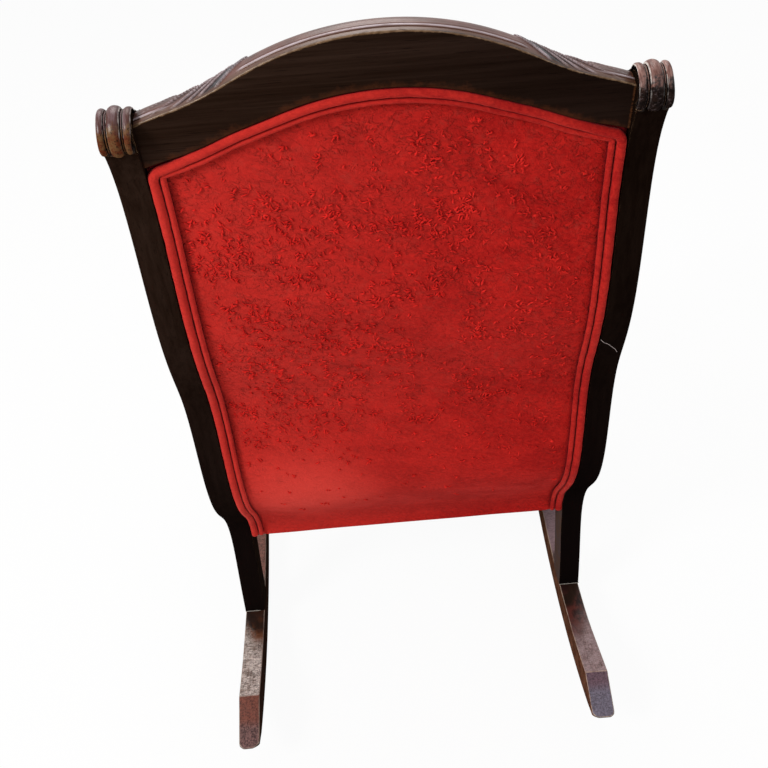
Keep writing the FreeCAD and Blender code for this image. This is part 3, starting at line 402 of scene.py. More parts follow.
def crestTone(net, place, colour, rubbed):  # worn back edge, a purple top band of worn finish and painted sheen, painted highlights on ribs and bead, painted shade in leaf valleys, and scuffs by the welt
    look = crestLook
    near, ridge, top = (net.attribute(name) for name in ("fromArris", "ridge", "topBand"))
    ragged = net.noise(place, 190, 5, 0, 0.75, (1, 1, 1.6))
    broad = net.noise(place, 34, 3)
    away = net.split(place)["X"]
    reach = near - ragged * 3.0 - broad * 2.4 + net.ramp(away, 0.02, -0.10, 0.0, 0.45)
    rubbed = net.largest(rubbed * 0.35, net.ramp(reach, -1.1, -2.0, 0.0, 0.8))
    # the top band: a purple-brown that is partly painted sheen, with paler painted highlights, worn near the
    # arris
    cloud = net.ramp(net.noise(place, 50, 4, 0, 0.6, (0.4, 1, 1)), 0.25, 0.75)
    band = net.mix(cloud, look["bandDeep"], look["bandPale"])
    band = net.mix(net.ramp(near + broad, 9.0, 5.5, 0.0, 0.75), band, look["bandWorn"])
    colour = net.mix(top * 0.92, colour, band)
    # the dark leaf tip, and painted shade in the valleys between the ribs
    for name in ("leafTip", "valley"):
        colour = net.mix(net.attribute(name), colour, look[name])
    # painted highlight along the ribs and the bead top, broken by noise
    glint = net.ramp(net.noise(place, 110, 3, stretch=(0.3, 1, 1)), 0.25, 0.6, 0.35, 1.0)
    colour = net.mix(ridge * glint, colour, look["rib"])
    joint = net.ramp(away, *look["jointAt"], 0.0, 0.5) * net.ramp(ragged, 0.40, 0.56)
    colour = net.mix(joint, colour, look["joint"])
    scuff = net.noise(place, 75, 5, 0, 0.72) * look["scuffReach"] - net.attribute("fromWelt")
    return net.mix(net.ramp(scuff, 5.0, 17.0, 0.0, 0.34), colour, look["scuff"]), rubbed


def earTone(net, place, colour, tone):  # red-brown reeds with painted sheen above and painted highlights on the rims, worn or dark at the lower end; the low inner face gets painted shade or light
    level = net.attribute("earLevel")
    reed = net.ramp(level, 0.35, 0.5)
    quirk = net.ramp(level, 0.05, 0.12) * net.ramp(level, 0.5, 0.25)
    rim = net.ramp(level, 0.38, 0.48) * net.ramp(level, 0.76, 0.60)
    streak = net.noise(place, 170, 4, 0.2, 0.6, (2.0, 0.35, 0.35))
    patch = net.noise(place, 130, 5, 0.4, 0.7)
    spots = net.noise(place, 420, 4, 0, 0.7)
    height = net.attribute("earTurn") + (patch - 0.5) * 0.7
    upper = net.ramp(height, tone["change"] - 0.07, tone["change"] + 0.07)
    # painted sheen streaks on the upper reeds
    high = net.mix(net.ramp(streak, 0.36, 0.64), tone["high"], tone["sheen"])
    low = net.mix(net.ramp(patch, 0.40, 0.62), tone["low"], tone["lowRed"])
    low = net.mix(net.ramp(spots, 0.52, 0.66), low, tone["spots"])
    colour = net.mix(reed * 0.96, colour, net.mix(upper, low, high))
    # painted highlight on the reed rims, stronger higher up
    broken = net.ramp(net.noise(place, 90, 3, 0, 0.6), 0.35, 0.6)
    pale = rim * broken * net.ramp(height, 0.2, 0.5, 0.05, 0.95)
    colour = net.mix(quirk, net.mix(pale, colour, earLook["rim"]), earLook["quirk"])
    # painted shade and light on the inner face low down: dark on the left, lighter on the right
    split = net.split(place)
    inwards = net.math("SIGN", split["X"]) * net.facing()["X"]
    inner = net.ramp(inwards, -0.6, -0.8) * net.ramp(split["Z"], 0.34, 0.26)
    return net.mix(inner, colour, net.mix(net.ramp(streak, 0.3, 0.7), tone["spots"], tone["inner"]))


def runnerTone(net, place, colour, rubbed, tone):  # bloom and cracks on top with painted sheen, painted shade by the foot, a painted highlight on the outer edge, redder sawn slope at the tail
    split, facing = net.split(place), net.facing()
    wander = (net.noise(place, 38, 4) - 0.5) * 0.05
    behind, across = split["Y"] - footBack, abs(split["X"])
    inwards = net.ramp(across, 0.268, 0.240, 0.0, 0.036)
    loose = behind + wander - inwards
    along = net.mapped(place, (0, 0, 0.25), (0.4, 1.3, 0.3))
    cracks = net.use(crackle, {"Vector": along, "Scale": 250.0})["Mask"]
    broken = net.ramp(net.noise(place, 75, 4, 0.5, 0.6), 0.42, 0.58)
    wave = net.ramp(abs(net.noise(place, 230, 4, 1.3, 0.6, (0.28, 1.5, 0.3)) - 0.5), 0.045, 0.015)
    cracks = net.largest(wave, cracks * broken)
    streak = net.noise(place, 420, 4, 0.2, 0.65, (1, 0.12, 0.12))
    # varnish bloom and painted sheen away from the foot, painted shade close to it
    start, full = tone["bloom"]
    bloom = net.largest(net.ramp(loose, start, full), net.ramp(loose, -0.075, -0.12))
    pale = net.ramp(streak * 0.4 + net.noise(place, 60, 5, 0.4, 0.65) * 0.6, 0.32, 0.56)
    # painted highlight along the outer edge of the top
    pale = net.largest(pale, net.ramp(across, 0.254, 0.268, 0.0, 0.6))
    pale = pale * net.ramp(loose, start, full + 0.03, 0.3, 1.0)
    crazed = net.mix(pale, tone["bloomDeep"], tone["bloomPale"])
    crazed = net.mix(net.ramp(behind, -0.06, -0.09), crazed, tone["ahead"])
    crazed = net.mix(cracks * tone["cracks"], crazed, runnerLook["crack"])
    warmth = net.noise(place, 95, 4, stretch=(1.6, 0.6, 1)) + inwards * 7.0
    warmth = net.ramp(warmth, 0.50, 0.74) * net.ramp(behind, 0.010, 0.034, 0.1, 1.0)
    foot = net.mix(warmth, tone["footDark"], tone["footWarm"])
    foot = net.mix(net.ramp(abs(loose), 0.004, 0.03), colour, foot)
    mottle = streak * 0.25 + net.noise(place, 380, 5, 0.5, 0.75) * 0.75
    slope = net.mix(net.ramp(mottle, 0.35, 0.61), tone["slopeDeep"], tone["slope"])
    end = net.mix(net.ramp(mottle, 0.40, 0.60), tone["endDeep"], tone["end"])
    far = behind + wander * 0.12
    sawn = net.mix(net.ramp(far, tone["change"] - 0.009, tone["change"] + 0.009), slope, end)
    crease = net.ramp(behind, tone["crease"] - 1.5 * mm, tone["crease"] + 1.5 * mm)
    top = net.mix(crease, net.mix(bloom, foot, crazed), sawn)
    side = net.mix(net.ramp(streak, 0.3, 0.7), runnerLook["sideDeep"], runnerLook["sidePale"])
    side = net.mix(net.ramp(facing["X"], 0.5, 0.8) * tone["side"], colour, side)
    colour = net.mix(net.ramp(facing["Z"], 0.45, 0.7), side, top)
    worn = net.ramp(net.noise(place, 120, 4, 0, 0.7, (1, 0.3, 1)), 0.32, 0.58, 0.1, 0.9)
    arris = net.ramp(net.attribute("arris"), 0.05, 0.55) * worn
    return net.mix(arris, colour, tone["arris"]), rubbed * 0.5, 1.0 - cracks


def mahogany(name, grain, wearWidth=1.4 * mm, wear=0.5, dust=0.15, shade=1.0, coat=0.8, kind=None, tone=None):
    look = mahoganyLook
    material, net, shader, place = blank(name)
    along = net.mapped(place, grainTurn[grain])
    dark, light = ([c * shade for c in look[part]] for part in ("dark", "light"))
    figure = net.use(woodFigure, {"Vector": along, "Dark": dark, "Light": light, "Pores": 0.5})
    edge = net.use(edgeWear, {"Vector": place, "Width": wearWidth, "Amount": wear})
    colour, height, rubbed = figure["Color"], figure["Height"], edge["Mask"]
    # painted shade: along one axis the colour goes towards the shaded colour
    if kind in look["fade"]:
        axis, *fade = look["fade"][kind]
        colour = net.mix(net.ramp(net.split(place)[axis], *fade), look["shaded"], colour)
    if kind == "crest":
        colour, rubbed = crestTone(net, place, colour, rubbed)
    if kind == "ear":
        colour = earTone(net, place, colour, tone)
    if kind == "runner":
        colour, rubbed, cracks = runnerTone(net, place, colour, rubbed, tone)
        height = height * 0.4 + cracks * 0.6
    worn = net.mix(net.ramp(net.noise(along, 150, 3), 0.35, 0.65), look["worn"], look["wornPale"])
    # painted shade: crevices found by an AO mask are darkened, less where the edge is rubbed
    deep = (edge["Crevice"] * (look["crevice"] - rubbed)).clamped()
    colour = net.mix(deep, net.mix(rubbed, colour, worn), look["grime"])
    # pale dust and painted sheen on what faces up
    dusty = net.use(dustAndSheenOn, {"Vector": place, "Amount": dust})["Mask"]
    shader["Base Color"] = net.mix(dusty, colour, look["dust"])
    upwards = net.facing()["Z"]
    smear = (net.noise(along, 28, 4) - 0.5) * 0.3
    rough = net.ramp(upwards, 0.1, 0.6, look["rough"], look["gloss"]) + smear
    shader["Roughness"] = (rough + rubbed * 0.25).clamped()
    shader["Specular IOR Level"] = 0.0
    shader["Specular Tint"] = look["tint"]
    shader["Coat Weight"] = net.ramp(upwards, 0.15, 0.6, 0.0, coat)
    shader["Coat Roughness"] = look["coatRough"]
    shader["Normal"] = net.bump(height, look["relief"])
    return material


def bareWood(name, grain, dark, light):
    material, net, shader, place = blank(name)
    along = net.mapped(place, grainTurn[grain])
    figure = net.use(woodFigure, {"Vector": along, "Dark": dark, "Light": light, "Pores": 0.35})
    edge = net.use(edgeWear, {"Vector": place, "Width": 1.5 * mm, "Amount": 0.2})
    # painted shade: crevices darkened through the AO crevice mask
    shader["Base Color"] = net.mix(edge["Crevice"] * 0.6, figure["Color"], (0.05, 0.03, 0.018))
    shader["Roughness"] = 0.72
    shader["Normal"] = net.bump(figure["Height"], 0.2 * mm)
    return material


def velvet(name, deep, bright, brushing, sheen=0.15, wear=0.5, shadows=True, shift=0.0, relief=1.2 * mm):
    look = velvetLook
    material, net, shader, place = blank(name)
    nap = net.use(pile, {"Vector": place, "Deep": deep, "Bright": bright, "Brushing": brushing,
                         "Dusty": look["dusty"], "Wear": wear})
    colour = nap["Color"]
    if shift:  # painted light: one side and one spot are lit brighter
        faded = net.ramp(net.split(place)["X"], -0.2, 0.24) * shift
        away = net.add("VectorMath", {0: place, 1: look["bleachedAt"]}, operation="DISTANCE")["Value"]
        bleached = net.ramp(away, *look["bleachedReach"], 0.0, 0.95)
        colour = net.mix(bleached, net.mix(faded, colour, look["faded"]), look["bleached"])
    if shadows:  # painted shade: the pile is darkened in seams and corners by an AO mask
        seam = net.ramp(net.openness(look["seamDepth"], 4), 0.62, 0.22) * 0.85
        colour = net.mix(seam, colour, look["seam"])
    shader["Base Color"] = colour
    shader["Roughness"] = net.ramp(nap["Lean"], 0.0, 1.0, 0.95, 0.8)
    shader["Specular IOR Level"] = 0.03
    shader["Sheen Weight"] = sheen
    shader["Sheen Roughness"] = 0.45
    shader["Sheen Tint"] = look["sheenTint"]
    shader["Normal"] = net.bump(nap["Height"], relief)
    return material


def woven(name, pitch, dark, light, turn=(0, 0, 0)):
    material, net, shader, place = blank(name)
    flat = net.mapped(place, turn)
    cloth = net.use(weave, {"Vector": flat, "Pitch": pitch})
    slub = net.noise(flat, 70, 4, stretch=(1, 6, 1))
    colour = net.mix(net.ramp(slub, 0.3, 0.7), dark, light)
    shader["Base Color"] = net.mix(cloth["Gap"] * 0.7, colour, [c * 0.25 for c in dark])
    shader["Roughness"] = 0.85
    shader["Normal"] = net.bump(cloth["Height"], pitch * 0.35)
    return material


def metal(name, base, spot, rough):
    material, net, shader, place = blank(name)
    rust = net.ramp(net.noise(place, 140, 5, 0.5, 0.7), 0.5, 0.7)
    shader["Base Color"] = net.mix(rust, base, spot)
    shader["Metallic"] = 1.0 - rust * 0.8
    shader["Roughness"] = net.ramp(rust, 0.0, 1.0, rough, 0.8)
    shader["Normal"] = net.bump(rust, 0.1 * mm)
    return material


def fibrous(name, dark, light, scale):
    material, net, shader, place = blank(name)
    tangle = net.noise(place, scale, 6, 1.5, 0.7)
    shader["Base Color"] = net.mix(net.ramp(tangle, 0.3, 0.7), dark, light)
    shader["Roughness"] = 0.95
    shader["Normal"] = net.bump(tangle, 0.8 * mm)
    return material


# painted shade: the right stile is a darker copy of the left one's finish, shade 0.32 against 0.8
upright = {
    "left": mahogany("leftUpright", "Z", wear=0.42, dust=0.04, shade=0.8, coat=0.6, kind="ear",
                     tone=earLook["left"]),
    "right": mahogany("rightUpright", "Z", wear=0.40, dust=0.05, shade=0.32, coat=0.6, kind="ear",
                      tone=earLook["right"])}
frontUpright = mahogany("frontUpright", "Z", wear=0.45, dust=0.10)
crestMahogany = mahogany("crestMahogany", "X", wear=0.3, dust=0.10, kind="crest")
railMahogany = mahogany("railMahogany", "X", wear=0.45)
sideRailMahogany = mahogany("sideRailMahogany", "Y", wear=0.45)
runnerWood = {
    "left": mahogany("leftRunner", "Y", 0.9 * mm, 0.50, 0.05, coat=0.25, kind="runner",
                     tone=runnerLook["left"]),
    "right": mahogany("rightRunner", "Y", 0.9 * mm, 0.62, 0.03, coat=0.4, kind="runner",
                      tone=runnerLook["right"])}
armMahogany = mahogany("armMahogany", "Y", wear=0.6, dust=0.15, shade=1.2)
plainHardwood = bareWood("plainHardwood", "X", (0.19, 0.105, 0.055), (0.36, 0.22, 0.125))
backVelvet = velvet("backVelvet", (0.30, 0.006, 0.006), (0.56, 0.016, 0.012), 0.36, 0.12, 0.85, shift=0.35,
                    relief=2.2 * mm)
weltVelvet = velvet("weltVelvet", (0.28, 0.006, 0.007), (0.52, 0.022, 0.016), 0.45, 0.2, 0.25, shift=0.4)
# the tufts wear a lighter copy of the velvet: pulled pile with a painted highlight
tuftVelvet = velvet("tuftVelvet", (0.46, 0.010, 0.008), (0.74, 0.026, 0.020), 0.5, 0.12, 0.0, shadows=False)
seatVelvet = velvet("seatVelvet", (0.33, 0.008, 0.008), (0.56, 0.020, 0.016), 0.5, 0.15, 0.2)
jute = {"pitch": 2.6 * mm, "dark": (0.24, 0.15, 0.075), "light": (0.42, 0.29, 0.16)}
juteWebbing = woven("juteWebbing", **jute)
levelWebbing = woven("levelWebbing", **jute, turn=(math.pi / 2, 0, 0))
hessianCloth = woven("hessianCloth", 1.7 * mm, (0.26, 0.17, 0.09), (0.44, 0.31, 0.18))
blackCambric = woven("blackCambric", 0.9 * mm, (0.010, 0.010, 0.011), (0.028, 0.027, 0.028))
springSteel = metal("springSteel", (0.42, 0.38, 0.33), (0.16, 0.07, 0.03), 0.38)
blackIron = metal("blackIron", (0.06, 0.06, 0.065), (0.11, 0.05, 0.028), 0.45)
paleThread = fibrous("paleThread", (0.30, 0.22, 0.20), (0.62, 0.52, 0.50), 1500.0)
oldGlue = fibrous("oldGlue", (0.22, 0.19, 0.16), (0.48, 0.44, 0.40), 600.0)
print("finishes made:", len(bpy.data.materials))

# Timber taken from the frame
woodShape = {"edgeRound": 1.0 * mm, "runnerRound": 1.4 * mm, "armRound": 1.8 * mm,
             "sharp": math.radians(35), "flat": math.radians(0.6), "weld": 0.00003}
earShape = {
    "crown": 22.4 * mm, "core": 16.5 * mm, "neck": 31 * mm, "inside": 16.0 * mm, "half": 16.1 * mm,
    "from": -50, "to": 150, "step": 3.0, "reeds": (6.4 * mm, 12.4 * mm, 7.4 * mm), "quirk": 0.95 * mm,
    "fillet": 1.1 * mm, "reedRise": 2.9 * mm, "quirkDepth": 3.9 * mm, "filletDepth": 2.1 * mm,
    "middleProud": 2.0 * mm, "hump": 20.5 * mm, "humpTurn": 128,
    "spread": {"left": (1.4 * mm, 3.4 * mm, 2.2 * mm), "right": (1.9 * mm, 0.0, 0.2 * mm)}}  # out, in, down


def reedProfile():  # across the ear: place, radius and level of relief
    s = earShape
    points = [(-s["half"], s["inside"], 0.1)]
    place = -s["half"]
    for width, proud in zip(s["reeds"], (0, s["middleProud"], 0)):
        if proud or place > 0:  # quirk, fillet, quirk before the middle and the last reed
            bottom, ledge = s["crown"] - s["quirkDepth"], s["crown"] - s["filletDepth"]
            for move, radius, level in ((0.15, bottom, 0.12), (0.85, bottom, 0.12), (1.0, ledge, 0.8)):
                points.append((place + move * s["quirk"], radius, level))
            place += s["quirk"]
            points.append((place + s["fillet"], ledge, 0.8))
            place += s["fillet"]
            for move in (0.15, 0.85):
                points.append((place + move * s["quirk"], bottom, 0.12))
            place += s["quirk"]
        for turn in range(0, 181, 18):
            a = math.radians(turn)
            rise = math.sin(a) ** 0.8
            radius = s["crown"] - s["reedRise"] * (1 - rise) + proud * rise
            points.append((place + width * (1 - math.cos(a)) / 2, radius, 0.3 + 0.7 * rise))
        place += width
    return points + [(s["half"], s["inside"], 0.1)]


def reedEar(shape, node):  # the plain rolled ear sinks under a finely reeded one
    s = earShape
    side = node.split("_")[1]
    sign = dict(sides)[side]
    outSpread, inSpread, drop = s["spread"][side]
    cut = Vector((0, math.cos(math.radians(s["humpTurn"])), math.sin(math.radians(s["humpTurn"]))))
    low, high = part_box(node)
    middle = Vector(((low.x + high.x) / 2, high.y - s["crown"], high.z - s["crown"]))
    for vert in shape.verts:
        out = Vector((0, vert.co.y - middle.y, vert.co.z - middle.z))
        turn = math.degrees(math.atan2(out.z, out.y))
        if s["core"] < out.length < s["neck"] and s["from"] + 1 < turn < s["to"]:
            vert.co -= out * (1 - s["core"] / out.length)
        out = Vector((0, vert.co.y - middle.y, vert.co.z - middle.z))
        if turn > 90:  # the hump in front of the roll is planed away
            vert.co -= cut * max(0.0, out.dot(cut) - s["hump"])
    level = shape.verts.layers.float.new("earLevel")
    height = shape.verts.layers.float.new("earTurn")
    profile = reedProfile()
    steps = int((s["to"] - s["from"]) / s["step"])
    rings = []
    for i in range(steps + 1):
        turn = s["from"] + (s["to"] - s["from"]) * i / steps
        a = math.radians(turn)
        ring = []
        for x, radius, relief in profile:
            radius += 0.25 * mm * lumps((x, turn * 0.4 * mm, middle.x), 5 * mm) * relief
            low = 1 - soften(turn, s["from"], 55)
            across = -x + low * (outSpread * max(0.0, -x) + inSpread * max(0.0, x)) / s["half"]
            around = Vector((sign * across, radius * math.cos(a), radius * math.sin(a) - drop))
            vert = shape.verts.new(middle + around)
            vert[level] = relief
            vert[height] = (turn - s["from"]) / (s["to"] - s["from"])
            ring.append(vert)
        rings.append(ring)
    for ring, after in zip(rings, rings[1:]):
        for j in range(len(profile)):
            k = (j + 1) % len(profile)
            shape.faces.new((ring[j], ring[k], after[k], after[j]))
    shape.faces.new(rings[0])
    shape.faces.new(rings[-1])


def reshapeTail(shape, tone):  # sawn by eye: one slope longer, one tail wider
    along = tone["crease"] - runnerLook["tail"]
    middle = sum(vert.co.x for vert in shape.verts) / len(shape.verts)
    for vert in shape.verts:
        behind = vert.co.y - footBack
        if abs(vert.co.x) > abs(middle):
            vert.co.x += math.copysign(tone["wider"] * soften(behind, 60 * mm, 190 * mm), vert.co.x)
        if abs(behind - runnerLook["tail"]) < 2 * mm:
            vert.co += Vector((0, along, along * runnerLook["fall"]))
    back = max(vert.co.y for vert in shape.verts)
    for vert in shape.verts:  # corners of the tip
        close = max(0.0, 1 - (back - vert.co.y) / runnerLook["tip"])
        vert.co.x = middle + (vert.co.x - middle) * (1 - tone["corner"] * close * close)


def dressed(node, material, edgeRound=woodShape["edgeRound"], ear=False, tail=None):  # a copy, edges eased
    shape = opened(nodes[node].data)
    weld(shape, woodShape["weld"])
    bmesh.ops.dissolve_limit(shape, angle_limit=woodShape["flat"], verts=shape.verts, edges=shape.edges)
    if tail:
        reshapeTail(shape, tail)
    arris = shape.verts.layers.float.new("arris")
    sharp = [edge for edge in shape.edges if edge.is_manifold and edge.is_convex
             and edge.calc_face_angle() > woodShape["sharp"]]
    cut = bmesh.ops.bevel(shape, geom=sharp, offset=edgeRound, offset_type="OFFSET",
                          affect="EDGES", segments=2, profile=0.5, material=-1, clamp_overlap=False)
    rounded = set(cut["faces"])
    for vert in cut["verts"]:  # only the middle of each rounded edge
        vert[arris] = float(rounded.issuperset(vert.link_faces))
    if ear:
        reedEar(shape, node)
    bmesh.ops.triangulate(shape, faces=[face for face in shape.faces if len(face.verts) > 4])
    outwards(shape)
    piece = finished(node + "_dressed", shape, material)
    for edge in piece.data.edges:
        edge.use_edge_sharp = False
    piece.modifiers.new("shading", "WEIGHTED_NORMAL").keep_sharp = True
    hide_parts(node)


for side, _ in sides:
    dressed("stile_" + side, upright[side], ear=True)
    dressed("runner_" + side, runnerWood[side], woodShape["runnerRound"], tail=runnerLook[side])
    dressed("front_leg_" + side, frontUpright)
    dressed("arm_" + side, armMahogany, woodShape["armRound"])
    dressed("arm_post_" + side, frontUpright)
dressed("front_seat_rail", railMahogany)
print("timber dressed")

# Crest rail
crestShape = {
    "topRadius": 259 * mm, "lowRadius": 255 * mm, "columns": 440,
    "arrisRound": 1.2 * mm, "bandEnd": 6.4 * mm, "beadWidth": 4.2 * mm, "beadRise": 1.5 * mm,
    "frontBandEnd": 15.0 * mm, "frontFall": 12.0 * mm, "bandSunk": 0.4 * mm,
    "topCove": (110 * mm, 4.6 * mm), "lowCove": (135 * mm, 3.0 * mm),
    "leafTip": 129 * mm, "ribDepth": 2.3 * mm, "leafProud": 1.5 * mm, "leafFade": (45, 96), "chips": 0.5 * mm,
    "beadGap": ((-4 * mm, 4 * mm), (62 * mm, 90 * mm)),
    "ribs": ((-9, 22), (5, 38), (14, 50), (25, 66), (40, 90), (62, 124), (98, 180), (150, 240))}
crestLow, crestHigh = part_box("crest_rail")
behind, forward = Vector((0, 1, 0)), Vector((0, -1, 0))
faceLow = hit("crest_rail", (0, 1, crestHigh.z - 50 * mm), forward)
faceHigh = hit("crest_rail", (0, 1, crestHigh.z - 25 * mm), forward)
lean = math.atan2(faceHigh.y - faceLow.y, faceHigh.z - faceLow.z)
upCrest = Vector((0, math.sin(lean), math.cos(lean)))
intoCrest = Vector((0, -math.cos(lean), math.sin(lean)))
crestFoot = faceLow - upCrest * ((faceLow.z - crestLow.z) / upCrest.z)
crestThick = (hit("crest_rail", faceLow - behind, behind) - faceLow).dot(intoCrest)
halfInside = crestHigh.x  # half the width between the stiles


def onCrest(x, into, up):  # a place measured from the lower back edge of the crest
    return crestFoot + Vector((x, 0, 0)) + intoCrest * into + upCrest * up


def crestHeight(x, into, downwards):  # height of the top or the underside of the node
    start = onCrest(x, into, 0.4 if downwards else -0.1)
    return (hit("crest_rail", start, -upCrest if downwards else upCrest) - crestFoot).dot(upCrest)


def archLine(radius, crown, sample, sampleHeight, cove):  # an arch whose shoulders are a little hollow
    low, high = 0.0, math.radians(60)
    for _ in range(40):
        turn = (low + high) / 2
        x = radius * math.sin(turn)
        height = crown - radius * (1 - math.cos(turn)) - (sample - x) * math.tan(turn)
        low, high = (turn, high) if height > sampleHeight else (low, turn)

    def heightAt(x):
        x = abs(x)
        start, depth = cove
        inCove = min(1.0, max(0.0, (x - start) / (halfInside - start)))
        dip = depth * math.sin(math.pi * inCove) ** 2
        if x < radius * math.sin(turn):
            return crown - radius + math.sqrt(radius ** 2 - x ** 2) - dip
        return sampleHeight + (sample - x) * math.tan(turn) - dip
    return heightAt


shoulder = halfInside - 12 * mm  # a place on the straight shoulder, clear of the ear
topEdge = archLine(crestShape["topRadius"], crestHeight(0, 5 * mm, True), shoulder,
                   crestHeight(shoulder, 5 * mm, True), crestShape["topCove"])
lowEdge = archLine(crestShape["lowRadius"], crestHeight(0, 5 * mm, False), shoulder,
                   crestHeight(shoulder, 5 * mm, False), crestShape["lowCove"])


def crestSection():  # into the rail, share of its height, height beyond that, bead
    s = crestShape
    bead, band, arris, thick = s["beadWidth"], s["bandEnd"], s["arrisRound"], crestThick
    sunk, end = s["bandSunk"], s["frontBandEnd"]
    points = [(0, share, 0, 0) for share in (0.02, 0.07, 0.12, 0.2, 0.3, 0.5, 0.68, 0.82, 0.91, 0.95, 0.975)]
    for turn in (0, 22, 45, 68, 90):  # the arris
        a = math.radians(turn)
        points.append((arris * (1 - math.cos(a)), 1, arris * (math.sin(a) - 1), 0))
    points += [(arris + share * (band - arris), 1, 0, 0) for share in (0.25, 0.5, 0.75, 0.92)]
    points.append((band, 1, 0, -0.5 * mm))
    for turn in range(15, 180, 25):  # the bead
        a = math.radians(turn)
        points.append((band + bead / 2 * (1 - math.cos(a)), 1, 0, s["beadRise"] * math.sin(a) - sunk))
    start = band + bead
    points += [(start, 1, 0, -0.9 * mm), (start + 0.8 * mm, 1, 0, -sunk)]
    points += [(start + 0.8 * mm + share * (end - start), 1, -sunk * share, 0) for share in (0.25, 0.5, 0.75)]
    for turn in range(0, 91, 6):  # the front rolls down
        a = math.radians(turn)
        fall = sunk + (s["frontFall"] - sunk) * (1 - math.cos(a))
        points.append((end + (thick - end) * math.sin(a), 1, -fall, 0))
    points += [(thick, share, 0, 0) for share in (0.8, 0.65, 0.5, 0.35, 0.2, 0.06)]
    points += [(thick - 1 * mm, 0, 0, 0), (thick * 0.66, 0, 0, 0), (thick * 0.33, 0, 0, 0), (1 * mm, 0, 0, 0)]
    return points


def carving(x, into):  # leaves that fall from a tip on each shoulder to the ears
    s = crestShape
    along = (abs(x) - s["leafTip"]) / mm
    share = min(1.0, max(0.0, (crestThick - 3 * mm - into) / (crestThick - 6 * mm)))
    lines = [start + (end - start) * share for start, end in s["ribs"]]
    if along < lines[0]:
        return 0.0, 0.0, 0.0, 0.0
    edge = soften(into, 2.2 * mm, 5.5 * mm)
    tip = s["leafProud"] * soften(along - lines[0], 0, 3) * (1 - soften(along - lines[0], 5, 40))
    fade = 1 - soften(along, *s["leafFade"])
    before, after = max(pair for pair in zip(lines, lines[1:]) if pair[0] <= along)
    step = min(1.0, (along - before) / (after - before))
    rib = (1 - step) ** 1.3 * soften(step * (after - before), 0.0, 1.6)
    vein = 0.16 * math.sin(step * math.pi * 5) * (1 - step) * (after - before > 9)
    # painted highlight just past each rib line
    pale = math.exp(-((along - before - 1.6) / 1.1) ** 2)
    dark = soften(along - lines[0], 0, 1.5) * (1 - soften(along - lines[1], -3, 1)) * edge
    # painted shade in the valleys between the ribs
    valley = soften(step, 0.35, 0.95) * fade * edge
    raised = edge * (fade * s["ribDepth"] * (rib + vein - 0.45) + tip)
    return raised, pale * (0.4 + 0.6 * fade) * edge, dark, valley


def beadShare(x):  # the bead stops at the leaf and comes back near the ear
    along = abs(x) - crestShape["leafTip"]
    stop, back = crestShape["beadGap"]
    return 1 - soften(along, *stop) * (1 - soften(along, *back))


def makeCrest():
    s = crestShape
    section = crestSection()
    shape = bmesh.new()
    bmesh.ops.create_grid(shape, x_segments=s["columns"], y_segments=len(section), size=0.5)
    marks = {name: shape.verts.layers.float.new(name)
             for name in ("fromArris", "fromWelt", "ridge", "topBand", "leafTip", "valley")}
    arrisAt = [point for point in section if point[1] == 1][2]
    for vert in shape.verts:
        x = vert.co.x * 2 * halfInside
        into, share, beyond, bead = section[round((vert.co.y + 0.5) * len(section)) % len(section)]
        top, low = topEdge(x), lowEdge(x)
        up = low + share * (top - low) + beyond + bead * beadShare(x)
        pale, dark, valley = 0.0, 0.0, 0.0
        if share == 1:
            raised, pale, dark, valley = carving(x, into)
            up += raised
        # the bead's top takes the painted highlight too
        pale = max(pale, 0.9 * beadShare(x) * (bead > s["beadRise"] - 0.75 * mm))
        place = onCrest(x, into, up)
        distance = math.hypot(into - arrisAt[0], up - top - arrisAt[2])
        if into < 3 * mm and distance < 4 * mm:
            chip = max(0.0, lumps(place, 5 * mm) - 0.15) * s["chips"] * (1 - distance / (4 * mm))
            place += intoCrest * chip - upCrest * chip
        if x < 0 and into < 1 * mm:  # the finish is rubbed off along this joint too
            distance = min(distance, 0.55 * (halfInside + x) + 0.9 * mm)
        vert.co = place
        vert[marks["fromArris"]] = min(distance / mm, 50.0)
        vert[marks["fromWelt"]] = min((up - low) / mm, 50.0) if into < 1 * mm else 50.0
        vert[marks["ridge"]] = pale
        vert[marks["leafTip"]] = dark
        vert[marks["valley"]] = valley
        vert[marks["topBand"]] = soften(into, 1 * mm, 3 * mm) if share == 1 else 0.0
    weld(shape)
    ends = [edge for edge in shape.edges if edge.is_boundary]
    bmesh.ops.holes_fill(shape, edges=ends, sides=0)
    outwards(shape)
    piece = finished("crest_rail_carved", shape, crestMahogany)
    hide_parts("crest_rail")


makeCrest()
print("crest carved")

# Outside back of velvet
backShape = {
    "columns": 120, "rows": 230, "pillow": 3.0 * mm, "sunk": 1.6 * mm, "foldUnder": 20 * mm,
    "turn": 3.5 * mm,
    "thickness": 1.6 * mm, "underCrest": 1.0 * mm, "hang": 8.0 * mm,
    "seam": 17 * mm, "swellOver": 60 * mm, "pucker": 0.5 * mm, "puckerOver": 30 * mm, "waves": 0.7 * mm}
backLow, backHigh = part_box("outside_back")
halfPanel = backHigh.x
footEdge = backLow.z - backShape["hang"]


def backFace(height):  # how far back the panel's outer face lies at a height
    levels = (height - 7 * mm, height, height + 7 * mm)
    points = [hit("outside_back", (0, 1, min(backHigh.z - 1 * mm, max(backLow.z + 6 * mm, level))), forward)
              for level in levels]
    return sum(point.y for point in points) / len(points)


heightSteps = 160
faceTable = [backFace(footEdge + step / heightSteps * (backHigh.z - footEdge))
             for step in range(heightSteps + 1)]


def panelY(height):
    place = min(heightSteps - 0.001, max(0.0, (height - footEdge) / (backHigh.z - footEdge) * heightSteps))
    step = int(place)
    return faceTable[step] + (faceTable[step + 1] - faceTable[step]) * (place - step)


def underCrest(x, gap):  # height in the room of a line under the crest
    return onCrest(x, 0, lowEdge(x) - gap).z


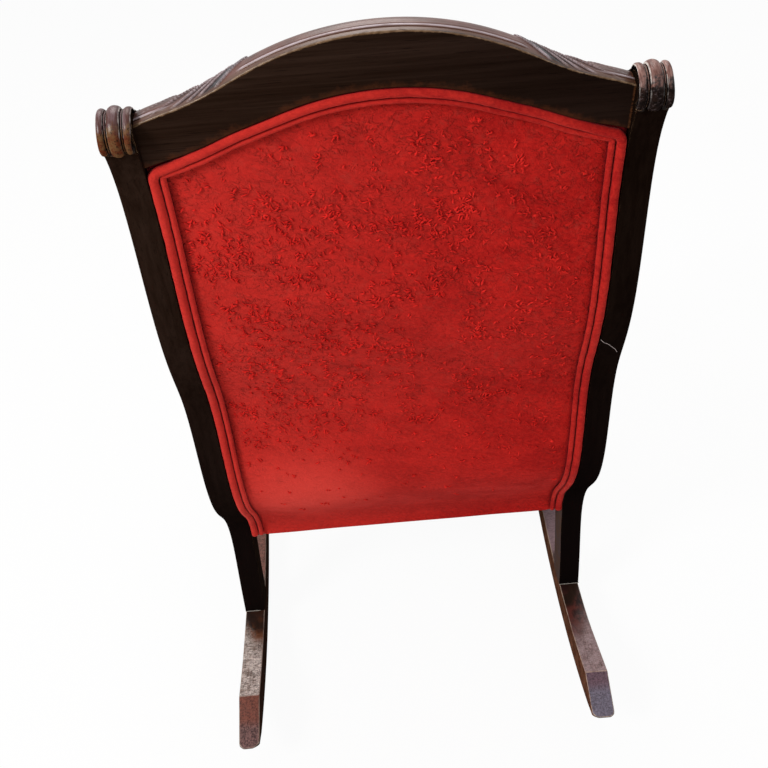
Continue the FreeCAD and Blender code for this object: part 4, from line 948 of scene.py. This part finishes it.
def panelLift(x, height):  # how far the cloth stands off the flat sheet
    s = backShape
    fromSide = halfPanel - abs(x)
    fromTop = underCrest(x, 0) - height
    fromFoot = height - footEdge
    seam = min(fromSide, fromTop) - s["seam"]
    swell = soften(seam, 0, s["swellOver"]) * s["pillow"] * soften(fromFoot, -5 * mm, 90 * mm)
    dip = s["sunk"] * (1 - soften(seam, -4 * mm, 9 * mm))
    pucker = s["pucker"] * (1 - soften(seam, 0, s["puckerOver"])) * lumps((x, 0, height), 11 * mm, 3)
    return swell - dip + pucker + s["waves"] * lumps((x, 0, height), 70 * mm, 5)


def onPanel(x, height, lift=0.0):
    return Vector((x, panelY(height) + panelLift(x, height) + lift, height))


def makePanel():
    s = backShape
    shape = bmesh.new()
    bmesh.ops.create_grid(shape, x_segments=s["columns"], y_segments=s["rows"], size=0.5)
    underRows, turnRows = 6, 8
    for vert in shape.verts:
        x = vert.co.x * 2 * (halfPanel - 0.5 * mm)
        row = round((vert.co.y + 0.5) * s["rows"])
        start = onPanel(x, footEdge + s["turn"])
        if row < underRows:
            share = row / underRows
            vert.co = start + Vector((0, -s["turn"] - (1 - share) * s["foldUnder"], -s["turn"]))
        elif row < underRows + turnRows:
            a = math.pi / 2 * (row - underRows) / turnRows
            vert.co = start + Vector((0, s["turn"] * (math.sin(a) - 1), -s["turn"] * math.cos(a)))
        else:
            share = (row - underRows - turnRows) / (s["rows"] - underRows - turnRows)
            top = underCrest(x, s["underCrest"])
            vert.co = onPanel(x, footEdge + s["turn"] + share * (top - footEdge - s["turn"]))
    bmesh.ops.recalc_face_normals(shape, faces=shape.faces)
    if sum(face.normal.y for face in shape.faces) < 0:
        bmesh.ops.reverse_faces(shape, faces=shape.faces)
    bmesh.ops.solidify(shape, geom=list(shape.faces), thickness=s["thickness"])
    piece = finished("outside_back_velvet", shape, backVelvet)
    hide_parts("outside_back")
    return piece


outsideBack = makePanel()
sideLength = sum((onPanel(0, footEdge + (i + 1) * 5 * mm) - onPanel(0, footEdge + i * 5 * mm)).length
                 for i in range(int((backHigh.z - footEdge) / (5 * mm))))
round(sideLength + backShape["foldUnder"], 3)
print("outside back stretched:", round(2 * halfPanel, 3), "by", round(sideLength, 3))

# Double welt round the outside back
weltShape = {
    "outer": 5.25 * mm, "inner": 3.3 * mm, "outerCorner": 11 * mm, "innerCorner": 2.5 * mm,
    "bed": 3.4 * mm, "foot": 7 * mm, "step": 3 * mm, "gap": 1.0 * mm, "bends": 7}


def weltLine(inset, corner, lift):  # up one side, round the corner and half way over the arch
    half = halfPanel - inset
    foot = footEdge + weltShape["foot"]
    cornerTop = underCrest(half, inset)
    points = []
    straight = int((cornerTop - corner - foot) / weltShape["step"])
    for i in range(straight + 1):
        points.append(Vector((half, 0, foot + (cornerTop - corner - foot) * i / straight)))
    slope = math.atan2(underCrest(half - 20 * mm, inset) - cornerTop, 20 * mm)
    bends = weltShape["bends"]
    for i in range(1, bends + 1):
        a = (math.pi / 2 - slope) * i / bends
        inwards, down = corner * (1 - math.cos(a)), corner * (1 - math.sin(a))
        points.append(Vector((half - inwards, 0, cornerTop - down)))
    last = points[-1]
    drop = underCrest(last.x, inset) - last.z
    across = int(last.x / weltShape["step"])
    for i in range(1, across + 1):
        x = last.x * (1 - i / across)
        points.append(Vector((x, 0, underCrest(x, inset) - drop * (1 - soften(i, 0, 12)))))
    for point in points:
        point.y = panelY(point.z) + lift
    return points + [Vector((-p.x, p.y, p.z)) for p in reversed(points[:-1])]


def makeWelt(name, node, radius, inset, corner, seed):
    points = weltLine(inset, corner, weltShape["bed"])
    points = [p + Vector((0.35 * mm * lumps(p, 16 * mm, seed), 0.3 * mm * lumps(p, 14 * mm, seed + 3), 0))
              for p in points]
    radii = [radius * (1 + 0.05 * lumps(p, 9 * mm, seed) + 0.03 * lumps(p, 4 * mm, seed + 1)) for p in points]
    piece = finished(name, tube(points, radii, 16), weltVelvet)
    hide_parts(node)


makeWelt("outer_welt_cord", "outer_back_welt", weltShape["outer"], weltShape["outer"] + 0.3 * mm,
         weltShape["outerCorner"], 1)
makeWelt("inner_welt_cord", "inner_back_welt", weltShape["inner"],
         2 * weltShape["outer"] + weltShape["inner"] + weltShape["gap"], weltShape["innerCorner"], 7)
print("welts laid")

# Matted tufts of pile
tuftShape = {
    "clumps": 1500, "length": (3.0 * mm, 7.5 * mm), "width": 0.85 * mm, "seed": 11, "rings": 5,
    "across": (-0.208, 0.208), "heights": (0.27, 0.975), "clear": 26 * mm,
    "leads": (40, 60, -50, 80, 100, 20)}


def oneTuft(whole, place, turn, length, width, curl, rise):  # a curled sliver that stands off the cloth
    rings = []
    x, z, steps = 0.0, 0.0, tuftShape["rings"] - 1
    for i in range(steps + 1):
        t = i / steps
        bend = turn + curl * t
        if i:
            x += math.sin(bend) * length / steps
            z += math.cos(bend) * length / steps
        thick = width * (0.25 + 0.75 * math.sin(math.pi * min(1.0, 0.15 + 0.8 * t)))
        middle = place + Vector((x, rise * math.sin(math.pi * (0.1 + 0.75 * t)), z))
        side, out = Vector((math.cos(bend), 0, -math.sin(bend))) * thick, Vector((0, thick, 0))
        rings.append([whole.verts.new(middle + away) for away in (side, out, -side, -out)])
    for ring, after in zip(rings, rings[1:]):
        for j in range(4):
            whole.faces.new((ring[j], ring[(j + 1) % 4], after[(j + 1) % 4], after[j]))
    whole.faces.new(rings[0])
    whole.faces.new(rings[-1])


def makeTufts():
    s = tuftShape
    dice = random.Random(s["seed"])
    whole = bmesh.new()
    laid = 0
    while laid < s["clumps"]:
        x = dice.uniform(*s["across"])
        height = dice.uniform(*s["heights"])
        if height > underCrest(x, s["clear"]):
            continue
        crowd = 0.40 + 1.2 * lumps((x, 0, height - 0.5 * x), 38 * mm, 2)
        crowd += 0.7 * lumps((x, 0, height), 15 * mm, 4)
        crowd *= 0.05 + 0.95 * soften(height, 0.36, 0.56)
        crowd *= soften(underCrest(x, 20 * mm) - height, 0, 70 * mm)
        crowd *= 1 - 0.45 * soften(-x, 0.05, 0.17)
        if dice.random() > crowd:
            continue
        lead = math.radians(dice.choice(s["leads"]) + dice.gauss(0, 25))
        for _ in range(dice.choice((1, 1, 2, 2, 3, 4))):
            place = onPanel(x + dice.gauss(0, 1.4) * mm, height + dice.gauss(0, 1.4) * mm)
            oneTuft(whole, place, lead + dice.gauss(0, 0.7), dice.uniform(*s["length"]),
                    s["width"] * dice.uniform(0.6, 1.5), dice.gauss(0, 0.7), dice.uniform(0.5, 1.6) * mm)
        laid += 1
    bmesh.ops.recalc_face_normals(whole, faces=whole.faces)
    finished("velvet_tufts", whole, tuftVelvet)


makeTufts()
print("tufts scattered")

smallThings = {
    "glue": 0.55 * mm, "gluePoints": 15, "glueLength": {"left": 0.76, "right": 1.0},
    "thread": ((-235.5, 583), (-239.5, 577), (-245, 573), (-251, 566), (-256, 560), (-259, 554)),
    "threadRadius": 0.36 * mm}


def makeSmallThings():  # glue squeezed out at the feet and a loose end of thread
    s = smallThings
    for side, sign in sides:
        low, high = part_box("stile_" + side)
        near, far = high.x - 0.6 * mm, high.x - (high.x - low.x) * s["glueLength"][side]
        points = []
        for i in range(s["gluePoints"]):
            x = near + (far - near) * i / (s["gluePoints"] - 1)
            back = footBack + 0.35 * mm + 0.3 * mm * lumps((x, 0, 0), 3 * mm)
            points.append(Vector((x, back, footTop + 0.45 * mm)))
        radii = [s["glue"] * (1 + 0.5 * lumps(point, 3 * mm, 4)) for point in points]
        finished("glue_line_" + side, tube(points, radii, 8), oldGlue)
    points = []
    for x, rise in s["thread"]:
        place = hit("stile_right", (x * mm, 1, footTop + rise * mm), forward)
        points.append(place + Vector((0, 0.5 * mm + 0.7 * mm * abs(lumps((x * mm, 0, 0), 6 * mm)), 0)))
    finished("loose_thread", tube(points, [s["threadRadius"]] * len(points), 8), paleThread)


makeSmallThings()
print("glue and thread laid")

# Cushions
cushionShape = {
    "cloth": {"quality": 5, "use_pressure": True, "tension_stiffness": 8, "bending_stiffness": 1.5},
    "frames": 20,
    "seat": {"voxel": 6 * mm, "grow": 1.6 * mm, "cap": 9 * mm, "pressure": 4.0, "held": 7 * mm},
    "back": {"voxel": 6 * mm, "grow": 1.6 * mm, "cap": 9 * mm, "pressure": 4.0, "held": 40 * mm},
    "arm": {"voxel": 3 * mm, "grow": 1.6 * mm, "cap": 5 * mm, "pressure": 3.0, "held": 9 * mm}}


def remeshed(name, node, voxel):
    piece = placed(name, nodes[node].data.copy())
    shape = opened(piece.data)
    weld(shape, woodShape["weld"])
    closed(shape, piece.data)
    voxels = piece.modifiers.new("even", "REMESH")
    voxels.mode = "VOXEL"
    voxels.voxel_size = voxel
    flattened(piece)
    return piece


def flattened(piece):  # the modifiers' result becomes the mesh
    seen = piece.evaluated_get(bpy.context.evaluated_depsgraph_get())
    mesh = bpy.data.meshes.new_from_object(seen)
    piece.modifiers.clear()
    old = piece.data
    piece.data = mesh
    bpy.data.meshes.remove(old)


def swollen(piece, look, held):  # blown up a little as cloth, with the held places still
    before = [vert.co.copy() for vert in piece.data.vertices]
    group = piece.vertex_groups.new(name="held")
    group.add([i for i, place in enumerate(before) if held(place)], 1.0, "REPLACE")
    cloth = piece.modifiers.new("swell", "CLOTH")
    for setting, value in cushionShape["cloth"].items():
        setattr(cloth.settings, setting, value)
    cloth.settings.uniform_pressure_force = look["pressure"]
    cloth.settings.effector_weights.gravity = 0
    cloth.settings.vertex_group_mass = "held"
    for step in range(1, cushionShape["frames"] + 1):
        bpy.context.scene.frame_set(step)
    flattened(piece)
    bpy.context.scene.frame_set(1)
    for vert, place in zip(piece.data.vertices, before):
        moved = vert.co - place
        if moved.length > look["cap"]:
            vert.co = place + moved.normalized() * look["cap"]
    piece.vertex_groups.clear()


def cushion(name, node, look, held, replaced):
    piece = remeshed(name, node, look["voxel"])
    swollen(piece, look, held)
    shape = opened(piece.data)
    bmesh.ops.smooth_vert(shape, verts=shape.verts, factor=0.5,
                          use_axis_x=True, use_axis_y=True, use_axis_z=True)
    for vert in shape.verts:
        vert.co += vert.normal * look["grow"]
    outwards(shape)
    closed(shape, piece.data)
    smoothed(piece.data)
    piece.data.materials.clear()
    piece.data.materials.append(seatVelvet)
    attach(piece, "root")
    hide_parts(*replaced)


frontRail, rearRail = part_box("front_seat_rail"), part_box("rear_seat_rail")


def onRails(place):  # below a line along the tops of the seat rails, front to rear
    share = (place.y - frontRail[0].y) / (rearRail[0].y - frontRail[0].y)
    top = frontRail[1].z + share * (rearRail[1].z - frontRail[1].z)
    return place.z < top + cushionShape["seat"]["held"]


cushion("seat_cushion", "seat_stuffing", cushionShape["seat"], onRails, ("seat_cover", "seat_stuffing"))
cushion("inside_back_cushion", "back_stuffing", cushionShape["back"],
        lambda p: p.y > panelY(p.z) - cushionShape["back"]["held"],
        ("inside_back_cover", "back_stuffing"))
for side, _ in sides:
    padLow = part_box("arm_pad_" + side)[0]
    cushion("arm_pad_velvet_" + side, "arm_pad_" + side, cushionShape["arm"],
            lambda p, low=padLow: p.z < low.z + cushionShape["arm"]["held"],
            ("arm_pad_" + side, "arm_pad_cover_" + side))
print("cushions stuffed")

# Finishes of the nodes that stay
nodeFinish = {
    "rear_seat_rail": railMahogany, "side_seat_rail_": sideRailMahogany, "stay_rail": plainHardwood,
    "crest_dowels": plainHardwood, "foot_dowels_": plainHardwood, "arm_dowels_": plainHardwood,
    "front_block_": plainHardwood, "rear_block_": plainHardwood, "corner_block_screws": blackIron,
    "back_webbing_": levelWebbing, "seat_webbing_": juteWebbing, "seat_springs": springSteel,
    "spring_hessian": hessianCloth, "seat_welt": weltVelvet, "dust_cover": blackCambric,
    "dust_cover_tacks": blackIron}


def finishOf(name):  # a name that ends in _ stands for all the nodes that start so
    return nodeFinish.get(name) or nodeFinish[name[:name.rindex("_") + 1]]


for name, node in nodes.items():
    if not node.hide_render:
        node.data.materials.clear()
        node.data.materials.append(finishOf(name))
print("nodes finished")

# Floor, light and camera
floorLook = {"size": 30.0, "colour": (0.86, 0.86, 0.86), "whiteShare": 0.95}
lightLook = {
    "world": 0.32, "worldColour": (0.97, 0.98, 1.0), "target": (0, 0.2, 0.65),
    "key": {"place": (2.2, 2.0, 2.6), "size": 1.0, "power": 84, "colour": (1.0, 0.98, 0.95)},
    "fill": {"place": (-2.0, 1.4, 1.4), "size": 1.8, "power": 7, "colour": (0.96, 0.98, 1.0)},
    "top": {"place": (0.1, -1.1, 2.7), "size": 1.6, "power": 34, "colour": (1.0, 0.94, 0.90)}}
cameraLook = {"fromFoot": (0.0322, 1.168, 1.346), "pitch": 38.0, "yaw": -0.67, "roll": 4.44,
              "focalPixels": 1100.0, "framePixels": 768.0, "sensor": 36.0}


def whiteToCamera(tree, kind, look, share, goal):  # plain white where the camera looks, the look for all else
    net = Net(tree)
    tree.nodes.clear()
    white = net.add(kind, {"Color": (1, 1, 1), "Strength": 1.0})
    path = net.add("LightPath")
    seen = net.largest(path["Is Camera Ray"], net.largest(path["Is Glossy Ray"], path["Is Transmission Ray"]))
    both = net.add("MixShader", {0: seen * share, 1: net.add(*look)[0], 2: white[0]})
    net.add(goal, {"Surface": both[0]})


def makeFloor():
    shape = bmesh.new()
    bmesh.ops.create_grid(shape, x_segments=1, y_segments=1, size=floorLook["size"] / 2)
    mesh = closed(shape, bpy.data.meshes.new("floor"))
    material = bpy.data.materials.new("paleFloor")
    material.use_nodes = True
    whiteToCamera(material.node_tree, "Emission", ("BsdfDiffuse", {"Color": floorLook["colour"]}),
                  floorLook["whiteShare"], "OutputMaterial")
    mesh.materials.append(material)
    placed("floor", mesh)


def makeWorld():
    world = bpy.data.worlds.new("room")
    bpy.context.scene.world = world
    world.use_nodes = True
    look = {"Color": lightLook["worldColour"], "Strength": lightLook["world"]}
    whiteToCamera(world.node_tree, "Background", ("Background", look), 1.0, "OutputWorld")


def makeLamp(name, look):
    data = bpy.data.lights.new(name, "AREA")
    data.shape = "DISK"
    data.size = look["size"]
    data.energy = look["power"]
    data.color = look["colour"]
    lamp = placed(name, data)
    lamp.location = look["place"]
    lamp.rotation_euler = (Vector(lightLook["target"]) - lamp.location).to_track_quat("-Z", "Y").to_euler()


def makeCamera():
    s = cameraLook
    data = bpy.data.cameras.new("camera")
    data.sensor_width = s["sensor"]
    data.lens = s["sensor"] * s["focalPixels"] / s["framePixels"]
    camera = placed("camera", data)
    yaw, pitch, roll = (math.radians(s[turn]) for turn in ("yaw", "pitch", "roll"))
    ahead = Vector((math.sin(yaw) * math.cos(pitch), -math.cos(yaw) * math.cos(pitch), -math.sin(pitch)))
    right = ahead.cross(Vector((0, 0, 1))).normalized()
    down = ahead.cross(right)
    across = right * math.cos(roll) + down * math.sin(roll)
    below = down * math.cos(roll) - right * math.sin(roll)
    turned = Matrix((across, -below, -ahead)).transposed()
    place = Vector(s["fromFoot"]) + Vector((0, footBack, footTop))
    camera.matrix_world = Matrix.Translation(place) @ turned.to_4x4()
    bpy.context.scene.camera = camera


makeFloor()
makeWorld()
for name in ("key", "fill", "top"):
    makeLamp(name, lightLook[name])
makeCamera()
bpy.context.scene.view_settings.view_transform = "Standard"
print("floor, light and camera placed")
